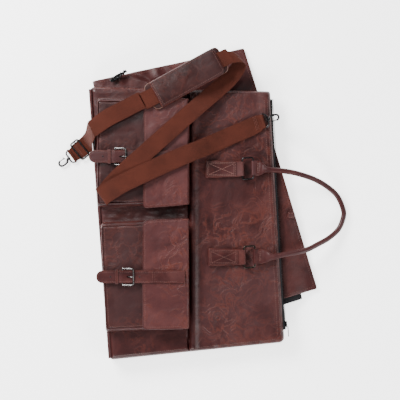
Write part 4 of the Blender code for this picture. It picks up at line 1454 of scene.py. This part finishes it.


# ---------------------------------------------------------------- shoulder strap


# The strap's route: at each station, the plan places and heights of its two edges.
STRAP_STATIONS = (
    ((-217.0, 237.0), (-203.2, 202.6), 60.8, 62.9),
    ((-180.0, 259.0), (-165.0, 224.0), 68.4, 68.4),
    ((-135.0, 278.0), (-120.0, 243.0), 69.9, 69.9),
    ((-104.0, 291.5), (-89.0, 256.5), 69.9, 69.9),
    ((-86.0, 294.5), (-70.0, 259.9), 69.9, 69.9),
    ((77.0, 366.5), (95.0, 335.4), 69.9, 69.9),
    ((95.0, 367.5), (111.0, 340.0), 69.0, 70.0),
    ((108.5, 365.0), (127.0, 341.0), 65.5, 67.0),
    ((117.5, 361.0), (135.5, 336.5), 59.5, 60.5),
    ((119.0, 358.0), (135.5, 328.0), 54.0, 54.0),
    ((112.0, 347.0), (128.0, 314.5), 50.5, 50.5),
    ((88.0, 323.5), (106.0, 291.0), 48.5, 48.5),
    ((58.0, 301.0), (78.5, 269.5), 48.0, 48.0),
    ((32.0, 281.5), (55.0, 251.5), 53.5, 53.5),
    ((9.0, 264.0), (32.0, 234.0), 63.4, 63.4),
    ((-12.0, 248.0), (11.0, 218.0), 67.2, 67.2),
    ((-60.0, 211.5), (-37.0, 181.5), 68.3, 68.3),
    ((-112.0, 171.5), (-89.0, 141.5), 71.0, 71.0),
    ((-156.0, 138.0), (-133.0, 107.8), 71.2, 71.2),
    ((-186.0, 112.5), (-163.0, 80.0), 66.0, 66.0),
    ((-204.0, 94.0), (-181.0, 58.5), 61.4, 61.4),
    ((-210.2, 88.0), (-187.5, 51.8), 61.9, 61.9),
    ((-211.4, 88.2), (-189.0, 51.4), 64.1, 64.1),
    ((-207.5, 91.0), (-185.0, 55.5), 66.2, 66.2),
    ((-190.0, 100.5), (-170.0, 63.5), 69.5, 69.5),
    ((-160.0, 114.0), (-143.0, 77.5), 74.4, 74.4),
    ((-112.0, 133.5), (-97.0, 95.6), 73.6, 73.6),
    ((-60.0, 152.5), (-46.5, 114.5), 69.0, 69.0),
    ((-8.0, 170.0), (5.5, 132.5), 68.2, 68.2),
    ((20.0, 179.0), (33.5, 141.8), 58.5, 58.5),
    ((44.0, 187.5), (57.5, 150.0), 47.6, 47.6),
    ((80.0, 200.0), (93.0, 163.0), 42.8, 42.8),
    ((125.0, 215.6), (138.0, 178.6), 42.2, 42.2),
    ((145.0, 222.6), (156.0, 186.2), 42.6, 42.6),
    ((159.1, 228.1), (167.7, 191.1), 44.9, 44.9),
)
TAIL_STATIONS = (
    ((-270.0, 184.6), (-249.9, 152.4), 3.9, 3.9),
    ((-257.7, 192.9), (-235.9, 161.7), 3.9, 3.9),
    ((-244.6, 202.3), (-222.8, 171.1), 3.9, 3.9),
    ((-238.6, 206.6), (-216.8, 175.4), 4.2, 4.2),
    ((-233.0, 211.5), (-214.6, 181.0), 10.0, 30.0),
    ((-227.5, 217.0), (-212.5, 188.5), 20.0, 48.0),
    ((-223.0, 227.0), (-209.0, 193.0), 34.0, 57.0),
    ((-217.9, 236.6), (-204.1, 202.2), 58.6, 62.4),
)
WEB_THICKNESS = 1.7
WEB_COLUMNS = 12
LOOP_HALF_WIDTH = 15.3
PAD_WEB_HEIGHT = 69.9


def webbing_piece(name, pairs, thickness, surface, body, stands_for=()):
    """A closed strap whose two edges pass through pairs of points."""
    upper, lower, cloth = [], [], []
    travelled = 0.0
    count = len(pairs)
    for index, (left, right) in enumerate(pairs):
        before, after = pairs[max(0, index - 1)], pairs[min(count - 1, index + 1)]
        ahead = (after[0] + after[1]) / 2 - (before[0] + before[1]) / 2
        out = (right - left).cross(ahead)
        out = out.normalized() if out.length > 1e-6 else Vector((0, 0, 1))
        if index:
            travelled += ((left + right) / 2 - (before[0] + before[1]) / 2).length
        width = (right - left).length
        for column in range(WEB_COLUMNS + 1):
            s = column / WEB_COLUMNS
            near = min(s, 1 - s) * width
            half = thickness / 2 * (0.45 + 0.55 * math.sqrt(min(1.0, near / 1.2)))
            place = left.lerp(right, s)
            upper.append(place + out * half)
            lower.append(place - out * half)
            cloth.append(((s - 0.5) * width, travelled, 0.0))
    faces = slab_faces(count, WEB_COLUMNS)
    return add_piece(name, upper + lower, faces, surface, body, stands_for, cloth=[*cloth, *cloth])


def station_pairs(stations, steps, narrow_first):
    """Pairs of edge points along a strap, which narrows at one end, where it turns round a ring."""
    left = smooth_route([(*station[0], station[2]) for station in stations], steps)
    right = smooth_route([(*station[1], station[3]) for station in stations], steps)
    pairs = list(zip(left, right))
    for index, (a, b) in enumerate(pairs):
        away = index if narrow_first else len(pairs) - 1 - index
        pull = 0.095 * (1 - ease(away / (steps * 0.9)))
        pairs[index] = (a.lerp(b, pull), b.lerp(a, pull))
    return pairs


def strap_length(pairs):
    middles = [(a + b) / 2 for a, b in pairs]
    return sum((b - a).length for a, b in zip(middles, middles[1:])) * MM


def make_strap():
    """The strap and its hanging tail, each with a sewn turn round its hook's ring, and the shoulder pad."""
    main = station_pairs(STRAP_STATIONS, 6, narrow_first=False)
    strap = webbing_piece("strap_web", main, WEB_THICKNESS, WEBBING, "strap", ("strap_webbing",))
    strap_length(main)
    tail = station_pairs(TAIL_STATIONS, 8, narrow_first=True)
    hanging = webbing_piece("strap_tail_web", tail, WEB_THICKNESS, WEBBING, "strap_tail",
                            ("strap_tail_webbing",))
    strap_length(tail)
    make_strap_loop("b", "strap", main[-1], 41.4, 0.045)
    make_strap_loop("a", "strap_tail", tail[0], 0.95, 0.0)
    make_pad()


def make_strap_loop(side, body, end, floor, slope):
    """The strap's end, turned round its hook's ring and sewn down. It stays above floor."""
    bar = joint_place(f"hook_{side}_lift")[0]
    ahead = joint_place(f"hook_{side}_swivel")[1]
    across = leftwards(ahead)
    meet = (end[0] + end[1]) / 2
    loop = [meet - ahead * 1.0]
    loop += [bar + ahead * 2.6 * math.cos(a) + Vector((0, 0, 2.6 * math.sin(a)))
             for a in (math.pi * (0.5 - i / 10) for i in range(11))]
    loop += [bar - ahead * 5 + Vector((0, 0, -2.5)), bar - ahead * 14 + Vector((0, 0, -2.6))]
    half = min((end[0] - end[1]).length / 2, LOOP_HALF_WIDTH)
    edges = []
    for point in smooth_route(loop, 2):
        pair = (point + across * half, point - across * half)
        edges.append(tuple(Vector((p.x, p.y, max(p.z, floor))) for p in pair))
    piece = webbing_piece(f"strap_loop_{side}", edges, WEB_THICKNESS, WEBBING, body)
    strap_length(edges)
    seams = Stitches()
    for back in (11.0, 14.0, 17.0):
        base = meet - ahead * back
        seams.row([(base + across * 16)[:2], (base - across * 16)[:2]], meet.z + 0.85 - slope * back,
                  pitch=3.4, length=2.4, radius=0.4, lift=0.2)
    seams.make(f"strap_stitches_{side}", THREAD, body)


def make_pad():
    """The shoulder pad: a padded leather sleeve, open at both ends, with the webbing through it."""
    corners = corners_of_strip("strap_pad", "pad_slide")
    low, high = heights_of("strap_pad")
    foot_left, foot_right, head_right, head_left = corners

    def under(x, y):
        across = strip_place(corners, x, y)[1]
        return low + 0.5 + 0.5 * (1 - math.sin(math.pi * min(max(across, 0), 1)) ** 0.4)

    def base_top(x, y):
        return PAD_WEB_HEIGHT - 1.25 - 0.3 * (1 - wrinkle(x, y, 20, 4.0))

    base = cushion("pad_base", corners, under, base_top, PAD_LEATHER, "strap_pad", roll=2.6, step=3.2,
                   radii=(13, 13, 13, 13), stands_for=("strap_pad",), worn=2.5)
    run = (foot_right - foot_left).length
    cover = [foot_left.lerp(foot_right, 16 / run), foot_left.lerp(foot_right, 1 - 9 / run),
             head_left.lerp(head_right, 1 - 9 / run), head_left.lerp(head_right, 16 / run)]

    def cover_top(x, y):
        u, v = strip_place(cover, x, y)
        middle = math.sin(math.pi * min(max(v, 0), 1)) ** 0.7
        ends = ease(min(u, 1 - u) * run / 12)
        wave = 0.5 * (1 - wrinkle(x, y, 24, 6.1)) + 0.35 * (1 - creases(x, y, 26, 1.4)) * ends
        edge = min(v, 1 - v) * (head_left - foot_left).length
        groove = 0.7 * bell(edge - 5.2, 1.2)
        return high - 2.6 + 2.6 * middle * (0.55 + 0.45 * ends) - wave * 0.8 - groove + 0.1

    def cover_low(x, y):
        across = abs(strip_place(cover, x, y)[1] - 0.5) * (head_left - foot_left).length
        return PAD_WEB_HEIGHT + (1.1 if across < 20.5 else 1.1 - 2.0 * ease((across - 20.5) / 3))

    top = cushion("pad_cover", cover, cover_low, cover_top, PAD_LEATHER, "strap_pad", roll=3.0, step=2.8,
                  radii=(3, 13, 13, 3), worn=3.0)
    seams = Stitches()
    for shift in (3.0, 7.5):
        start = cover[0].lerp(cover[1], shift / run)
        end = cover[3].lerp(cover[2], shift / run)
        seams.row([start.lerp(end, 0.05), start.lerp(end, 0.95)], cover_top,
                  pitch=3.8, length=2.7, radius=0.45, lift=0.15)
    route = outline(inset(cover, 5.2), 5)
    seams.row([*route, route[0]], cover_top, pitch=4.2, length=3.0, radius=0.4, lift=0.2)
    seams.make("pad_stitches", THREAD, "strap_pad")
    rim = outline(inset(corners, 1.0), 12, 7)
    edge = [(*point[:2], PAD_WEB_HEIGHT - 2.1) for point in rim]
    sweep("pad_raw_edge", edge, even(0.75, 0.7), RAW_EDGE, "strap_pad", closed=True, sides=8)


def strip_place(corners, x, y):
    """Where a plan point lies on a strip: 0 to 1 along its first side and 0 to 1 across."""
    origin = Vector(corners[0])
    along, across = Vector(corners[1]) - origin, Vector(corners[3]) - origin
    reach = Vector((x, y)) - origin
    return reach.dot(along) / along.length_squared, reach.dot(across) / across.length_squared


def corners_of_strip(node, slide):
    """The corners of a straight strip that lies along its own slide's axis."""
    along = -joint_place(slide)[1].to_2d().normalized()
    across = Vector((-along.y, along.x))
    points = [plan(vertex.co).to_2d() for vertex in frame["nodes"][node].data.vertices]
    low_u, high_u = (pick(p.dot(along) for p in points) for pick in (min, max))
    low_v, high_v = (pick(p.dot(across) for p in points) for pick in (min, max))
    ends = ((low_u, low_v), (high_u, low_v), (high_u, high_v), (low_u, high_v))
    return [along * u + across * v for u, v in ends]


# ---------------------------------------------------------------- snap hooks and adjuster


def stepped(*radii):
    """A round section that takes each radius in turn along its route."""
    last = len(radii) - 1
    return lambda t: (radii[round(t * last)], radii[round(t * last)], 2.0)


def make_hook(side):
    """A snap hook: the ring in the strap, the swivel's barrel and collar, the hook, its gate and knob."""
    bar = joint_place(f"hook_{side}_lift")[0]
    ahead = joint_place(f"hook_{side}_swivel")[1]
    across = leftwards(ahead)

    def at(u, v):
        return bar + ahead * u + across * v

    half, depth = 17.0, 9.5
    route = rounded([at(0, -half), at(0, half), at(depth, half - 5), at(depth, -half + 5)], 4.0)
    sweep("hook_ring_wire_" + side, route, even(1.75, 1.45, 2.2), GUNMETAL, f"hook_{side}_ring",
          closed=True, sides=14, stands_for=("hook_ring_" + side,))
    barrel = [at(u, 0) for u in (6.8, 7.2, 8.0, 9.8, 11.6, 12.2, 12.6)]
    sweep("hook_barrel_" + side, barrel, stepped(2.6, 3.3, 3.5, 3.2, 3.5, 3.3, 2.6), GUNMETAL,
          f"hook_{side}_ring", sides=20)
    collar = [at(u, 0) for u in (12.9, 13.2, 14.4, 15.2)]
    sweep("hook_collar_" + side, collar, stepped(2.2, 2.9, 2.9, 2.3), GUNMETAL, f"hook_{side}", sides=20)
    path = smooth_route([at(u, v) for u, v in (
        (13.8, 0), (15.0, 2.2), (17.5, 4.8), (21.5, 6.1), (27.5, 6.3), (32, 5.2), (34.8, 2.6), (35.3, -0.6),
        (34.2, -3.6), (31.8, -5.6), (29.0, -6.1),
    )], 5)

    def bow(t):
        """The hook is thickest where it leaves the collar."""
        return 2.0 + 0.6 * bell(t, 0.3) + 0.2 * t, 1.7 + 0.5 * bell(t, 0.3), 2.2

    sweep("hook_body_" + side, path, bow, GUNMETAL, f"hook_{side}", sides=16,
          stands_for=("snap_hook_" + side,))
    gate = smooth_route([at(28.6, -6.0), at(25, -5.9), at(20.5, -5.3), at(16.4, -4.4)], 4)
    sweep("hook_gate_lever_" + side, gate, even(1.05, 1.2, 2.6), GUNMETAL, f"hook_{side}_gate",
          sides=12, stands_for=("hook_gate_" + side,))
    knob = [at(19.5 + 0.1 * i, -6.0 - 0.75 * i) for i in range(5)]
    sweep("hook_gate_knob_" + side, knob, stepped(0.9, 0.9, 1.3, 1.4, 0.9), GUNMETAL, f"hook_{side}_gate",
          sides=14)


def make_adjuster():
    """The strap's adjuster: a flat frame with a bar across it that dips under the webbing."""
    ahead = joint_place("adjuster_slide")[1]
    low, high = box_of("strap_adjuster")
    centre = (low + high) / 2
    across = leftwards(ahead)
    level = high.z - 1.4

    def at(u, v, z):
        return Vector((centre.x, centre.y, z)) + ahead * u + across * v

    half, depth = 21.6, 10.0
    route = rounded([
        at(-depth, -half, level), at(-depth, half, level), at(depth, half, level), at(depth, -half, level),
    ], 4.5)
    sweep("adjuster_frame", route, even(1.9, 1.35, 2.6), GUNMETAL, "strap_adjuster", closed=True,
          sides=16, stands_for=("strap_adjuster",))
    bar = rounded([
        at(0, -half, level), at(0, -half + 0.4, 1.5), at(0, half - 0.4, 1.5), at(0, half, level),
    ], 1.6, closed=False)
    sweep("adjuster_bar", bar, even(1.2), GUNMETAL, "strap_adjuster", sides=12)


def finish_small_nodes():
    """CAD nodes whose own shape is right: they only need their metal."""
    snaps = [f"snap_{half}_{row}" for half in ("stud", "socket") for row in ("upper", "lower")]
    for node in (*snaps, "zip_slider"):
        mesh = frame["nodes"][node].data
        mesh.materials.clear()
        mesh.materials.append(NICKEL if node in snaps else GUNMETAL)


make_camera()
make_studio()
make_front_panel()
make_back_half()
make_spine()
make_sleeve()
make_zip_tail()
make_zip()
for row in ("upper", "lower"):
    make_pocket(row)
    make_flap(row)
    make_belt(row)
    make_handle_side(row)
make_grip()
make_strap()
make_hook("a")
make_hook("b")
make_adjuster()
finish_small_nodes()
